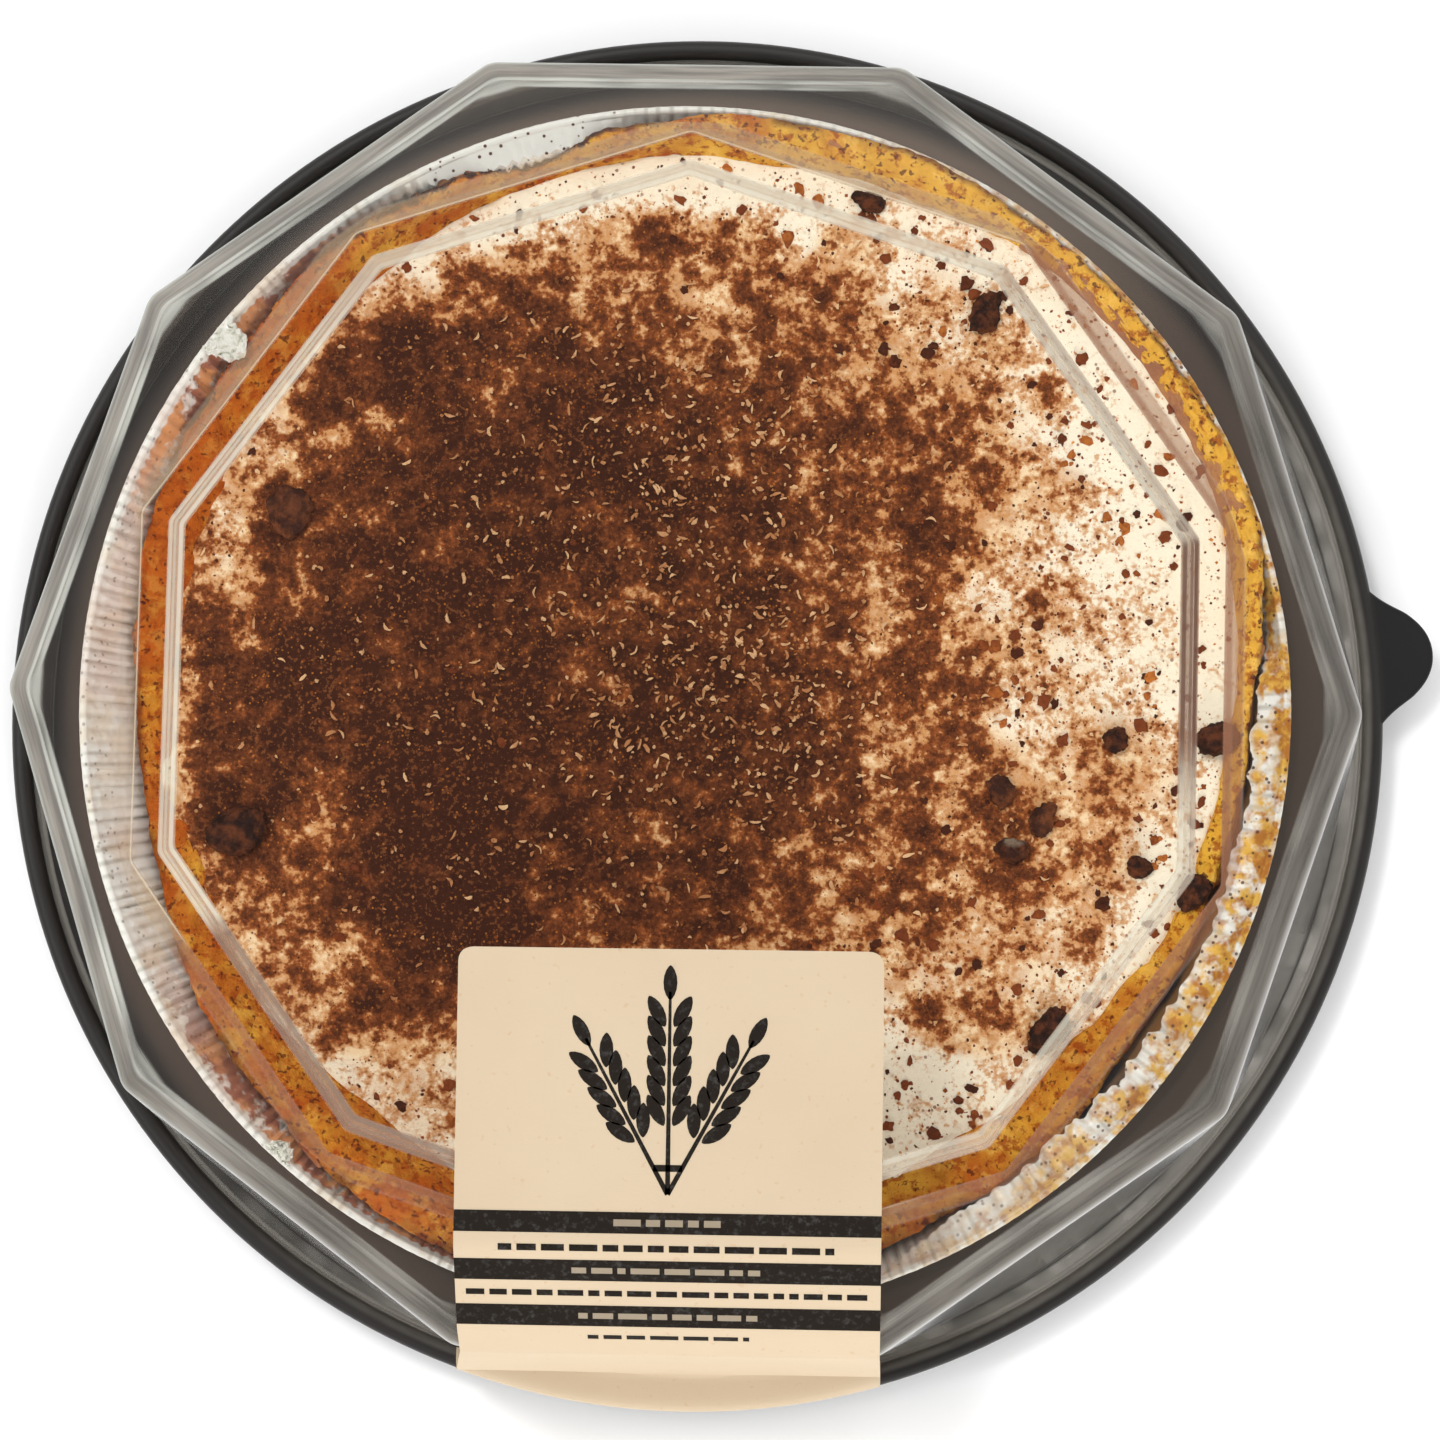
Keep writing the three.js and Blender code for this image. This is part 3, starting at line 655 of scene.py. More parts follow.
# Where the cocoa lies: centre x, y and half widths in millimetres from the tart's centre, and how thick
cocoaPatches = [
    (-28, 8, 74, 70, 1.2), (-32, 62, 44, 24, 0.48), (8, 32, 58, 48, 0.26), (30, -14, 44, 34, 0.2),
    (-50, -40, 26, 34, 0.46), (10, 84, 60, 14, 0.34), (38, 62, 30, 24, 0.46), (54, 42, 16, 16, 0.3),
    (64, -25, 14, 12, 0.62), (62, -58, 26, 14, 0.5), (-84, 0, 16, 30, 0.6), (-84, 54, 16, 16, 0.2),
    (-80, -46, 20, 16, 0.2), (-62, -62, 20, 12, 0.2), (42, -44, 22, 12, 0.45), (-10, -26, 60, 30, 0.2),
    (-50, 5, 26, 44, 0.3), (48, 6, 16, 20, 0.2), (-40, 78, 26, 12, 0.22), (-12, 90, 10, 8, 0.3),
    (88, -16, 15, 20, 0.34), (-58, 68, 12, 10, 0.6), (-90, -26, 12, 12, 0.5), (-48, -48, 12, 14, 0.4),
    (48, -82, 20, 8, 0.15), (-50, -80, 20, 10, 0.35), (38, -20, 10, 10, 0.3), (-66, -20, 9, 9, -0.35),
    (-80, 22, 10, 10, -0.3), (14, 86, 22, 9, 0.14), (20, 75, 9, 12, 0.4), (41, 34, 11, 13, 0.62),
    (43, 58, 14, 10, 0.4), (72, 20, 24, 48, 0.2), (80, -12, 16, 12, 0.25), (70, -40, 11, 9, 0.4),
    (50, -31, 14, 8, 0.45), (55, -60, 12, 6, 0.3), (4, -42, 20, 8, 0.3), (-80, -46, 10, 13, 0.4),
    (-61, -61, 11, 6, 0.4), (-69, 60, 9, 7, 0.55), (-90, -6, 6, 28, 0.2), (-3, 90, 14, 7, 0.25),
    (50, -50, 8, 5, -0.25), (50, -70, 8, 6, -0.25), (72, 42, 8, 6, 0.3), (72, 2, 8, 6, 0.15),
    (53, 22, 8, 8, -0.1), (-70, 30, 30, 20, 0.15), (51, 31, 7, 6, 0.35), (70, 30, 9, 8, 0.08),
    (80, 21, 7, 8, 0.05), (80, -31, 8, 7, 0.4), (60, 1, 7, 8, -0.2), (20, 90, 6, 5, -0.25),
    (-50, 80, 7, 6, -0.2), (-80, 50, 6, 7, -0.25), (-30, 80, 7, 6, 0.25), (60, 70, 8, 6, 0.25),
    (70, 60, 6, 6, 0.3), (-88, 28, 5, 12, -0.3), (80, -42, 7, 6, 0.3), (52, 1, 9, 9, 0.2),
    (52, -11, 8, 7, 0.28), (62, 12, 8, 6, 0.15), (48, -74, 14, 8, 0.2), (10, 90, 8, 5, 0.25),
    (50, 65, 9, 12, -0.12), (40, 80, 6, 6, -0.25), (45, 8, 10, 8, 0.2), (60, -10, 7, 7, 0.25),
    (75, 10, 10, 8, 0.15), (30, 90, 6, 5, 0.3), (5, 63, 9, 9, 0.12), (-80, 30, 6, 6, 0.2),
    (70, 20, 7, 6, 0.2),
]


def fillingTop(x, y):
    hit = fillingTree.ray_cast(Vector((x * mm + tartCentre.x, y * mm + tartCentre.y, 0.06)), down)[0]
    return hit.z / mm if hit and hit.z > 0.02 else None


def creamLevels():
    # The cream's level on a square lattice; the median of a ring of spots passes over crumbs and hollows
    s = creamShape
    reach = int(114 / s["lattice"]) + 1
    levels = np.full((2 * reach + 1, 2 * reach + 1), np.nan)
    for j in range(-reach, reach + 1):
        for i in range(-reach, reach + 1):
            found = []
            for k in range(8):
                x = i * s["lattice"] + s["around"] * math.cos(k / 8 * fullTurn)
                y = j * s["lattice"] + s["around"] * math.sin(k / 8 * fullTurn)
                top = fillingTop(x, y)
                if top is not None:
                    found.append(top)
            if len(found) > 2:
                levels[j + reach, i + reach] = sorted(found)[len(found) // 2]
    levels[np.isnan(levels)] = np.nanmedian(levels) - 0.6
    return levels


creamGrid = creamLevels()


def creamLevel(x, y):
    # Level in millimetres between the lattice's points, for arrays of places
    half = creamGrid.shape[0] // 2
    column = np.clip(x / creamShape["lattice"] + half, 0, creamGrid.shape[0] - 1.001)
    row = np.clip(y / creamShape["lattice"] + half, 0, creamGrid.shape[0] - 1.001)
    i = column.astype(int)
    j = row.astype(int)
    u = column - i
    v = row - j
    low = creamGrid[j, i] * (1 - u) + creamGrid[j, i + 1] * u
    high = creamGrid[j + 1, i] * (1 - u) + creamGrid[j + 1, i + 1] * u
    return low * (1 - v) + high * v


patchTable = np.array(cocoaPatches).T


def cocoaAt(x, y):
    # How thickly the cocoa lies, from about 0 to over 1, at one place or many
    cx, cy, rx, ry, weight = patchTable
    away = np.hypot((np.asarray(x)[..., None] - cx) / rx, (np.asarray(y)[..., None] - cy) / ry)
    return (weight / (1 + np.exp((away - 0.86) * 7))).sum(-1) - creamShape["bare"]


def addCream():
    s = creamShape
    steps = np.linspace(-1, 1, s["across"])
    u, v = np.meshgrid(steps, steps)
    # A square grid squeezed into a disc, so that its cells stay about even
    discX = u * np.sqrt(1 - v ** 2 / 2)
    discY = v * np.sqrt(1 - u ** 2 / 2)
    angles = np.arctan2(discY, discX).ravel()
    shares = np.hypot(discX, discY).ravel()
    edges = np.array([edgeAt(innerEdges, a % fullTurn) for a in angles]) + 0.25
    x = shares * edges * np.cos(angles)
    y = shares * edges * np.sin(angles)
    cocoa = cocoaAt(x, y)
    z = creamLevel(x, y)
    for k in range(len(x)):
        where = Vector((x[k] / 8, y[k] / 8, 0.4))
        swell = noise.noise(where) * 0.9 + noise.noise(where * 2.3) * 0.35
        dust = noise.noise(where * 9) * min(max(cocoa[k], 0.1), 1)
        z[k] += s["relief"] * 2 * swell + s["dustRelief"] * dust
    z -= 0.5 * shares ** 30
    count = s["across"]
    top = [(tartCentre.x + x[k] * mm, tartCentre.y + y[k] * mm, z[k] * mm) for k in range(len(x))]
    faces = bands(count, count, closed=False)
    border = gridBorder(count, count)
    base = len(top)
    under = []
    for k in border:
        reach = min(math.hypot(x[k], y[k]), s["underReach"]) / max(math.hypot(x[k], y[k]), 1)
        under.append((tartCentre.x + x[k] * reach * mm, tartCentre.y + y[k] * reach * mm, 0.0203))
    faces += [(border[k], base + k, base + (k + 1) % len(border), border[(k + 1) % len(border)])
              for k in range(len(border))]
    faces.append(tuple(base + k for k in range(len(border))))
    values = {"cocoa": np.concatenate([cocoa, cocoa[border]])}
    cream = addMesh("cream", top + under, faces, values)
    fixNormals(cream)
    smoothFaces(cream, 50)
    return finishPiece(cream, creamFinish(), "filling", "filling")


def creamFinish():
    finish = Finish("dusted_cream")
    cocoa = finish.painted("cocoa")
    drift = finish.grain(13, 3, 0.6) - 0.5
    clump = finish.grain(4.2, 3, 0.6) - 0.5
    lump = finish.grain(1.7, 3, 0.65) - 0.5
    dust = finish.grain(0.6, 2, 0.6) - 0.5
    uneven = 0.42 + 0.58 * cocoa.above(-0.15, 0.4)
    cover = cocoa + uneven * (1.3 * drift + 2.2 * clump + 2.2 * lump)
    thin = (cover + 1.6 * dust).above(-0.02, 0.46)
    middle = (cover + 1.2 * dust).above(0.4, 0.72)
    thick = (cover + 0.8 * dust).above(0.66, 0.98)
    dense = (cover + 0.5 * dust).above(0.98, 1.5)
    cloud = finish.grain(14, 3, 0.5)
    plain = finish.blend(cloud, tone(250, 243, 222), tone(247, 232, 202))
    sandy = finish.blend(finish.grain(2.6, 3, 0.6).above(0.42, 0.58), tone(242, 208, 160), tone(210, 152, 96))
    toned = finish.blend(cocoa.above(0.1, 0.5) * 0.85, plain, sandy)
    tinted = finish.blend(thin * 0.9, toned, tone(206, 148, 92))
    reddish = finish.blend(middle, tinted, tone(148, 80, 38))
    brown = finish.blend(thick, reddish, tone(98, 51, 26))
    dark = finish.blend(dense, brown, tone(64, 32, 18))
    # Fine dark specks over the bare cream
    specks = (1 - finish.cells(1.9).above(0.14, 0.22)) * finish.grain(6, 2, 0.5).above(0.46, 0.56)
    motes = (1 - finish.cells(1.25).above(0.12, 0.2)) * finish.grain(5, 2, 0.5).above(0.42, 0.54)
    moted = finish.blend(motes * 0.7, dark, tone(196, 118, 44))
    specked = finish.blend(specks * 0.75, moted, tone(120, 62, 28))
    fine = finish.grain(0.45, 2, 0.6)
    lighter = finish.blend(fine.above(0.56, 0.64) * thick * 0.45, specked, tone(148, 88, 48))
    grainy = finish.blend((1 - fine.above(0.36, 0.44)) * middle * 0.5, lighter, tone(52, 24, 12))
    height = (lump + dust) * (0.4 + 0.5 * cocoa.above(-0.1, 0.4))
    return finish.done(finish.principled(
        Base_Color=grainy, Roughness=0.55 + 0.35 * thin, Specular_IOR_Level=0.14,
        Normal=finish.bump(height, 0.55, 0.9)))


cream = addCream()
print("stage 5: cream")


# Loose toppings: every kind is one mesh of many small solids resting on the cream
toppingShape = dict(
    shavings=dict(count=1750, seed=31, length=(0.6, 2.5), width=(0.35, 0.85), thickness=0.35,
                  extra=[(61.4, -19.4), (62.8, -20.8), (63.9, -22.2), (61.9, -22.4), (60.6, -21.0)]),
    crumbs=dict(count=1000, seed=47, size=(0.55, 2.8), smooth=28),
    grains=dict(count=9400, seed=59, size=(0.25, 0.85)),
)
creamTree = BVHTree.FromObject(cream, bpy.context.evaluated_depsgraph_get())


def onCream(x, y):
    hit = creamTree.ray_cast(Vector((x * mm + tartCentre.x, y * mm + tartCentre.y, 0.06)), down)
    return hit[0], hit[1]


def scattered(count, seed, density):
    # Seeded places on the cream, kept where a draw falls under the density there
    draw = random.Random(seed)
    places = []
    while len(places) < count:
        angle = draw.uniform(0, fullTurn)
        radius = 112 * math.sqrt(draw.random())
        if radius > edgeAt(innerEdges, angle) - 1.0:
            continue
        x = radius * math.cos(angle)
        y = radius * math.sin(angle)
        if draw.random() < density(x, y):
            places.append((x, y))
    return places, draw


def gaussian(x, y, cx, cy, rx, ry):
    return math.exp(-((x - cx) / rx) ** 2 - ((y - cy) / ry) ** 2)


def shavingDensity(x, y):
    return 0.06 + 0.75 * gaussian(x, y, 2, 52, 22, 15) + 0.95 * gaussian(x, y, 10, 3, 24, 24) \
        + 0.32 * gaussian(x, y, -12, 22, 45, 50)


def crumbDensity(x, y):
    # Most where the cocoa thins out, and over the bare cream towards +X
    return max(0.08, min(1.0, 0.85 - abs(cocoaAt(x, y) - 0.15) * 1.3)) * (1.0 if x > 10 else 0.5)


def grainDensity(x, y):
    return max(0.16, min(1.0, 1.0 - abs(cocoaAt(x, y) - 0.3) * 1.1))


def bentFlake(draw, length, width, thickness):
    # A curved sliver: five cross-sections along an arc, pointed at its ends and a little twisted
    bend = draw.uniform(-1.5, 1.5)
    lean = draw.uniform(-0.4, 0.4)
    points = []
    for k in range(5):
        share = k / 4 - 0.5
        taper = (1 - (2 * abs(share)) ** 2 * draw.uniform(0.3, 0.9)) * draw.uniform(0.6, 1.2)
        x = share * length * (1 - 0.12 * abs(bend))
        y = bend * (0.25 - share ** 2) * length * 0.6
        lift = draw.uniform(0, 0.3) + 0.5 * abs(share)
        for side, up in ((-0.5, 0), (0.5, 0), (0.5, 1), (-0.5, 1)):
            height = up * thickness * taper + lift + lean * side * width
            points.append(Vector((x, y + side * width * taper, height)))
    faces = [(0, 1, 2, 3), (19, 18, 17, 16)]
    for k in range(4):
        for i in range(4):
            j = (i + 1) % 4
            faces.append((4 * k + j, 4 * k + i, 4 * k + 4 + i, 4 * k + 4 + j))
    return points, faces


def roughBall(draw, size, flat, template):
    # A lump knocked out of round: longer one way, with dents of its own
    stretch = draw.uniform(0.62, 1.0)
    shift = Vector((draw.uniform(0, 90), draw.uniform(0, 90), draw.uniform(0, 90)))
    points = []
    for p in template[0]:
        dent = 0.7 * noise.noise(p * 1.2 + shift) + 0.45 * noise.noise(p * 2.9 + shift)
        reach = size / 2 * max(0.35, 1 + dent + draw.uniform(-0.12, 0.12))
        points.append(Vector((p.x * reach, p.y * reach * stretch, p.z * reach * flat)))
    return points, template[1]


def ballTemplate(levels):
    shape = bmesh.new()
    bmesh.ops.create_icosphere(shape, subdivisions=levels, radius=1)
    template = ([v.co.copy() for v in shape.verts], [tuple(v.index for v in f.verts) for f in shape.faces])
    shape.free()
    return template


def octahedron():
    points = [Vector(p) for p in ((1, 0, 0), (0, 1, 0), (-1, 0, 0), (0, -1, 0), (0, 0, 1), (0, 0, -1))]
    faces = [(0, 1, 4), (1, 2, 4), (2, 3, 4), (3, 0, 4), (1, 0, 5), (2, 1, 5), (3, 2, 5), (0, 3, 5)]
    return points, faces


def gather(name, places, draw, makeOne, sink):
    # Joins all solids of one kind, each turned at random and seated on the cream
    points = []
    faces = []
    shades = []
    for x, y in places:
        spot, normal = onCream(x, y)
        if spot is None:
            continue
        local, localFaces = makeOne(draw)
        turn = normal.to_track_quat("Z", "Y").to_matrix() @ Matrix.Rotation(draw.uniform(0, fullTurn), 3, "Z")
        start = len(points)
        points += [spot + turn @ (p * mm) - normal * (sink * mm) for p in local]
        faces += [tuple(start + k for k in face) for face in localFaces]
        # Darker where the cocoa lies thick
        shades += [draw.random() * (1 - 0.6 * min(max(cocoaAt(x, y), 0), 1))] * len(local)
    return addMesh(name, points, faces, {"shade": shades})


def toppingFinish(name, tones, rough, size):
    # Each lump has a shade of its own, between three tones
    finish = Finish(name)
    shade = finish.painted("shade")
    mottle = finish.grain(size, 3, 0.6)
    place = shade + (mottle - 0.5) * 0.5
    lower = finish.blend(place.above(0.05, 0.5), tones[0], tones[1])
    colour = finish.blend(place.above(0.6, 1.0), lower, tones[2])
    return finish.done(finish.principled(
        Base_Color=colour, Roughness=rough, Specular_IOR_Level=0.2, Normal=finish.bump(mottle, 0.2, 0.7)))


def between(span, share):
    return span[0] + (span[1] - span[0]) * share


def addToppings():
    # For each kind: how one solid is made, how deep it sinks, and its finish from three tones
    flakes, lumps, specks = (toppingShape[key] for key in ("shavings", "crumbs", "grains"))
    ball = ballTemplate(2)
    kinds = [
        dict(shape=flakes, name="pale_shavings", look="pale_shaving", slot="filling", density=shavingDensity,
             one=lambda d: bentFlake(d, between(flakes["length"], d.random() ** 2.4),
                                     d.uniform(*flakes["width"]), flakes["thickness"]),
             sink=0.05, rough=0.6, size=0.8,
             tones=(tone(178, 120, 74), tone(226, 184, 136), tone(252, 238, 208))),
        dict(shape=lumps, name="dark_crumbs", look="dark_crumb", slot="chunk", density=crumbDensity,
             one=lambda d: roughBall(d, between(lumps["size"], d.random() ** 4.5), 0.6, ball),
             sink=0.0, rough=0.75, size=0.6,
             tones=(tone(68, 31, 15), tone(124, 60, 26), tone(190, 112, 46))),
        dict(shape=specks, name="cocoa_grains", look="cocoa_grain", slot="chunk", density=grainDensity,
             one=lambda d: roughBall(d, between(specks["size"], d.random() ** 2), 0.6, octahedron()),
             sink=0.05, rough=0.85, size=0.5,
             tones=(tone(84, 38, 18), tone(156, 76, 30), tone(226, 158, 70))),
    ]
    for kind in kinds:
        places, draw = scattered(kind["shape"]["count"], kind["shape"]["seed"], kind["density"])
        places += kind["shape"].get("extra", [])
        made = gather(kind["name"], places, draw, kind["one"], kind["sink"])
        fixNormals(made)
        if "smooth" in kind["shape"]:
            smoothFaces(made, kind["shape"]["smooth"])
        look = toppingFinish(kind["look"], kind["tones"], kind["rough"], kind["size"])
        finishPiece(made, look, kind["slot"])


addToppings()
print("stage 6: loose toppings")


# Dark chunks: each keeps its node's form, with a crumbly skin
chunkShape = dict(levels=3, crumble=0.6, smooth=0.35, powdery=("chunk_10", "chunk_5", "chunk_6", "chunk_7"),
                  softer=9, bloom=(62, -22, 3.6))


def chunkFinish(name, dark, pale, size, bloom=None):
    finish = Finish(name)
    crumb = finish.grain(size, 4, 0.65)
    pores = finish.cells(1.6).above(0.1, 0.5)
    colour = finish.blend(crumb.above(0.38, 0.68), dark, pale)
    if bloom:
        # A greyish spot where the powder is packed: x, y and reach in millimetres
        x = finish.along("X") * 1000 - bloom[0]
        y = finish.along("Y") * 1000 - bloom[1]
        spot = (1 - (x * x + y * y).above(bloom[2] ** 2 * 0.3, bloom[2] ** 2)) * crumb.above(0.36, 0.5)
        colour = finish.blend(spot * 0.6, colour, tone(150, 140, 122))
    return finish.done(finish.principled(
        Base_Color=colour, Roughness=0.6 + 0.3 * crumb, Specular_IOR_Level=0.2,
        Normal=finish.bump(crumb + 0.6 * pores, 0.6, 0.9)))


def addChunks():
    s = chunkShape
    hard = chunkFinish("dark_chunk", tone(40, 20, 13), tone(98, 52, 28), 1.3)
    powdery = chunkFinish("cocoa_clump", tone(58, 30, 19), tone(112, 62, 34), 1.7, s["bloom"])
    for name in sorted(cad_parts):
        if not name.startswith("chunk_"):
            continue
        shape = bmesh.new()
        shape.from_mesh(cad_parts[name].data)
        bmesh.ops.remove_doubles(shape, verts=shape.verts, dist=0.01 * mm)
        softer = s["softer"] if name in s["powdery"] else 0
        for k in range(s["levels"] + softer):
            if k < s["levels"]:
                bmesh.ops.subdivide_edges(shape, edges=shape.edges, cuts=1, use_grid_fill=True,
                                          smooth=s["smooth"])
            bmesh.ops.smooth_vert(shape, verts=shape.verts, factor=0.5, use_axis_x=True, use_axis_y=True,
                                  use_axis_z=True)
        shape.normal_update()
        for v in shape.verts:
            where = v.co / mm
            push = noise.noise(where * 0.6) + 0.7 * noise.noise(where * 1.5) + 0.35 * noise.noise(where * 3.6)
            v.co += v.normal * (s["crumble"] * push * mm)
        mesh = bpy.data.meshes.new(name + "_crumbly")
        shape.to_mesh(mesh)
        shape.free()
        chunk = bpy.data.objects.new(name + "_crumbly", mesh)
        bpy.context.scene.collection.objects.link(chunk)
        smoothFaces(chunk, 60)
        finishPiece(chunk, powdery if name in s["powdery"] else hard, "chunk", name)


addChunks()
print("stage 7: dark chunks")


# Clear lid: a sheet over ten-sided rings, rounded along every ridge
lidShape = dict(sides=10, turn=-0.6, wall=0.55, corner=5, innerCorner=2.5, cornerSteps=5, ridge=1.3,
                ridgeSteps=4, foot=126.5, footHeight=9.6, flange=129.4, lip=2.0, footSteps=150)
# Corner radius and height of each ring
outerRings = [(123.9, 56.0), (119.4, 61.0)]
innerRings = [(104.6, 66.1), (102.8, 67.0), (97.4, 67.0), (95.6, 69.2), (94.2, 70.0)]
# Along each ridge the sheet is milky, partly from being drawn over it and partly as painted highlights and
# shade that stand in for the ridge's refraction: height, how far it fades, and how sharp that is
lidRidges = dict(
    rimLine=(55.8, 1.5, 0.05), band=(58.4, 2.75, 0.86), shoulderLine=(60.9, 0.5, 0.3),
    ledge=(66.5, 0.62, 0.6), ledgeLine=(66.98, 0.13, 0.5), riser=(68.6, 1.7, 0.85),
    riserLow=(67.45, 0.5, 0.5), riserHigh=(69.68, 0.32, 0.5), foot=(10.4, 1.2, 0.3),
)


def ringPoints(radius, height, corner, turn):
    # One ten-sided ring with rounded corners
    s = lidShape
    half = math.pi / s["sides"]
    hub = radius - corner / math.cos(half)
    points = []
    for side in range(s["sides"]):
        middle = math.radians(turn) + 2 * half * side
        for k in range(s["cornerSteps"] + 1):
            angle = middle + half * (2 * k / s["cornerSteps"] - 1)
            points.append(Vector(((hub * math.cos(middle) + corner * math.cos(angle)) * mm,
                                  (hub * math.sin(middle) + corner * math.sin(angle)) * mm, height * mm)))
    return points


def roundedRidges(path, radius, steps):
    # A path of (reach, height) whose inner corners become arcs; its two ends stay
    made = [path[0]]
    for before, corner, after in zip(path, path[1:], path[2:]):
        here = Vector(corner)
        back = Vector(before) - here
        ahead = Vector(after) - here
        bend = math.pi - back.angle(ahead)
        cut = min(radius * math.tan(bend / 2), back.length * 0.45, ahead.length * 0.45)
        start = here + back.normalized() * cut
        end = here + ahead.normalized() * cut
        for k in range(steps + 1):
            t = k / steps
            spot = start * (1 - t) ** 2 + here * 2 * t * (1 - t) + end * t ** 2
            made.append((spot.x, spot.y))
    return made + [path[-1]]


def addLid():
    s = lidShape
    innerTurn = s["turn"] + 180 / s["sides"]
    path = [(s["foot"], s["footHeight"])] + outerRings + innerRings + [(30, 70.0)]
    rounded = roundedRidges(path, s["ridge"], s["ridgeSteps"])
    perRidge = s["ridgeSteps"] + 1
    outer = rounded[1:1 + 2 * perRidge]
    inner = rounded[1 + 2 * perRidge:-1]
    convex = inner[:perRidge + perRidge // 2]
    plateau = inner[perRidge + perRidge // 2:]
    shape = bmesh.new()

    def addRing(points):
        return [shape.verts.new(p) for p in points]

    def addCircle(reach, height):
        return addRing([polar(reach * mm, k / s["footSteps"] * fullTurn, height * mm)
                        for k in range(s["footSteps"])])

    def join(rings):
        for low, high in zip(rings, rings[1:]):
            for k in range(len(low)):
                after = (k + 1) % len(low)
                shape.faces.new((low[k], low[after], high[after], high[k]))

    foot = addCircle(s["foot"], s["footHeight"])
    for reach, height in outer:
        addRing(ringPoints(reach, height, s["corner"], s["turn"]))
    for reach, height in convex:
        top = addRing(ringPoints(reach, height, s["innerCorner"], innerTurn))
    bmesh.ops.convex_hull(shape, input=shape.verts)
    caps = [f for f in shape.faces if abs(f.normal.z) > 0.999]
    bmesh.ops.delete(shape, geom=caps, context="FACES_ONLY")
    rings = [top]
    for reach, height in plateau:
        rings.append(addRing(ringPoints(reach, height, s["innerCorner"], innerTurn)))
    join(rings)
    shape.faces.new(rings[-1])
    edge = ((s["foot"] + 0.4, 0.05), (s["flange"] - 0.6, 0.05), (s["flange"], 0.6), (s["flange"], s["lip"]))
    join([foot] + [addCircle(reach, s["footHeight"] + rise) for reach, rise in edge])
    loose = [v for v in shape.verts if not v.link_faces]
    bmesh.ops.delete(shape, geom=loose, context="VERTS")
    bmesh.ops.recalc_face_normals(shape, faces=shape.faces)
    shape.normal_update()
    summit = max(shape.faces, key=lambda f: f.calc_center_median().z)
    if summit.normal.z < 0:
        bmesh.ops.reverse_faces(shape, faces=shape.faces)
    mesh = bpy.data.meshes.new("clear_lid")
    shape.to_mesh(mesh)
    shape.free()
    lid = bpy.data.objects.new("clear_lid", mesh)
    bpy.context.scene.collection.objects.link(lid)
    smoothFaces(lid, 24)
    addModifier(lid, "SOLIDIFY", thickness=s["wall"] * mm, offset=-1, use_even_offset=True)
    addModifier(lid, "WEIGHTED_NORMAL", keep_sharp=True, weight=80)
    # The contents are lit as if the clear sheet weren't there, for a shorter render
    lid.visible_diffuse = False
    lid.visible_shadow = False
    return finishPiece(lid, lidFinish(), "lid", "lid")


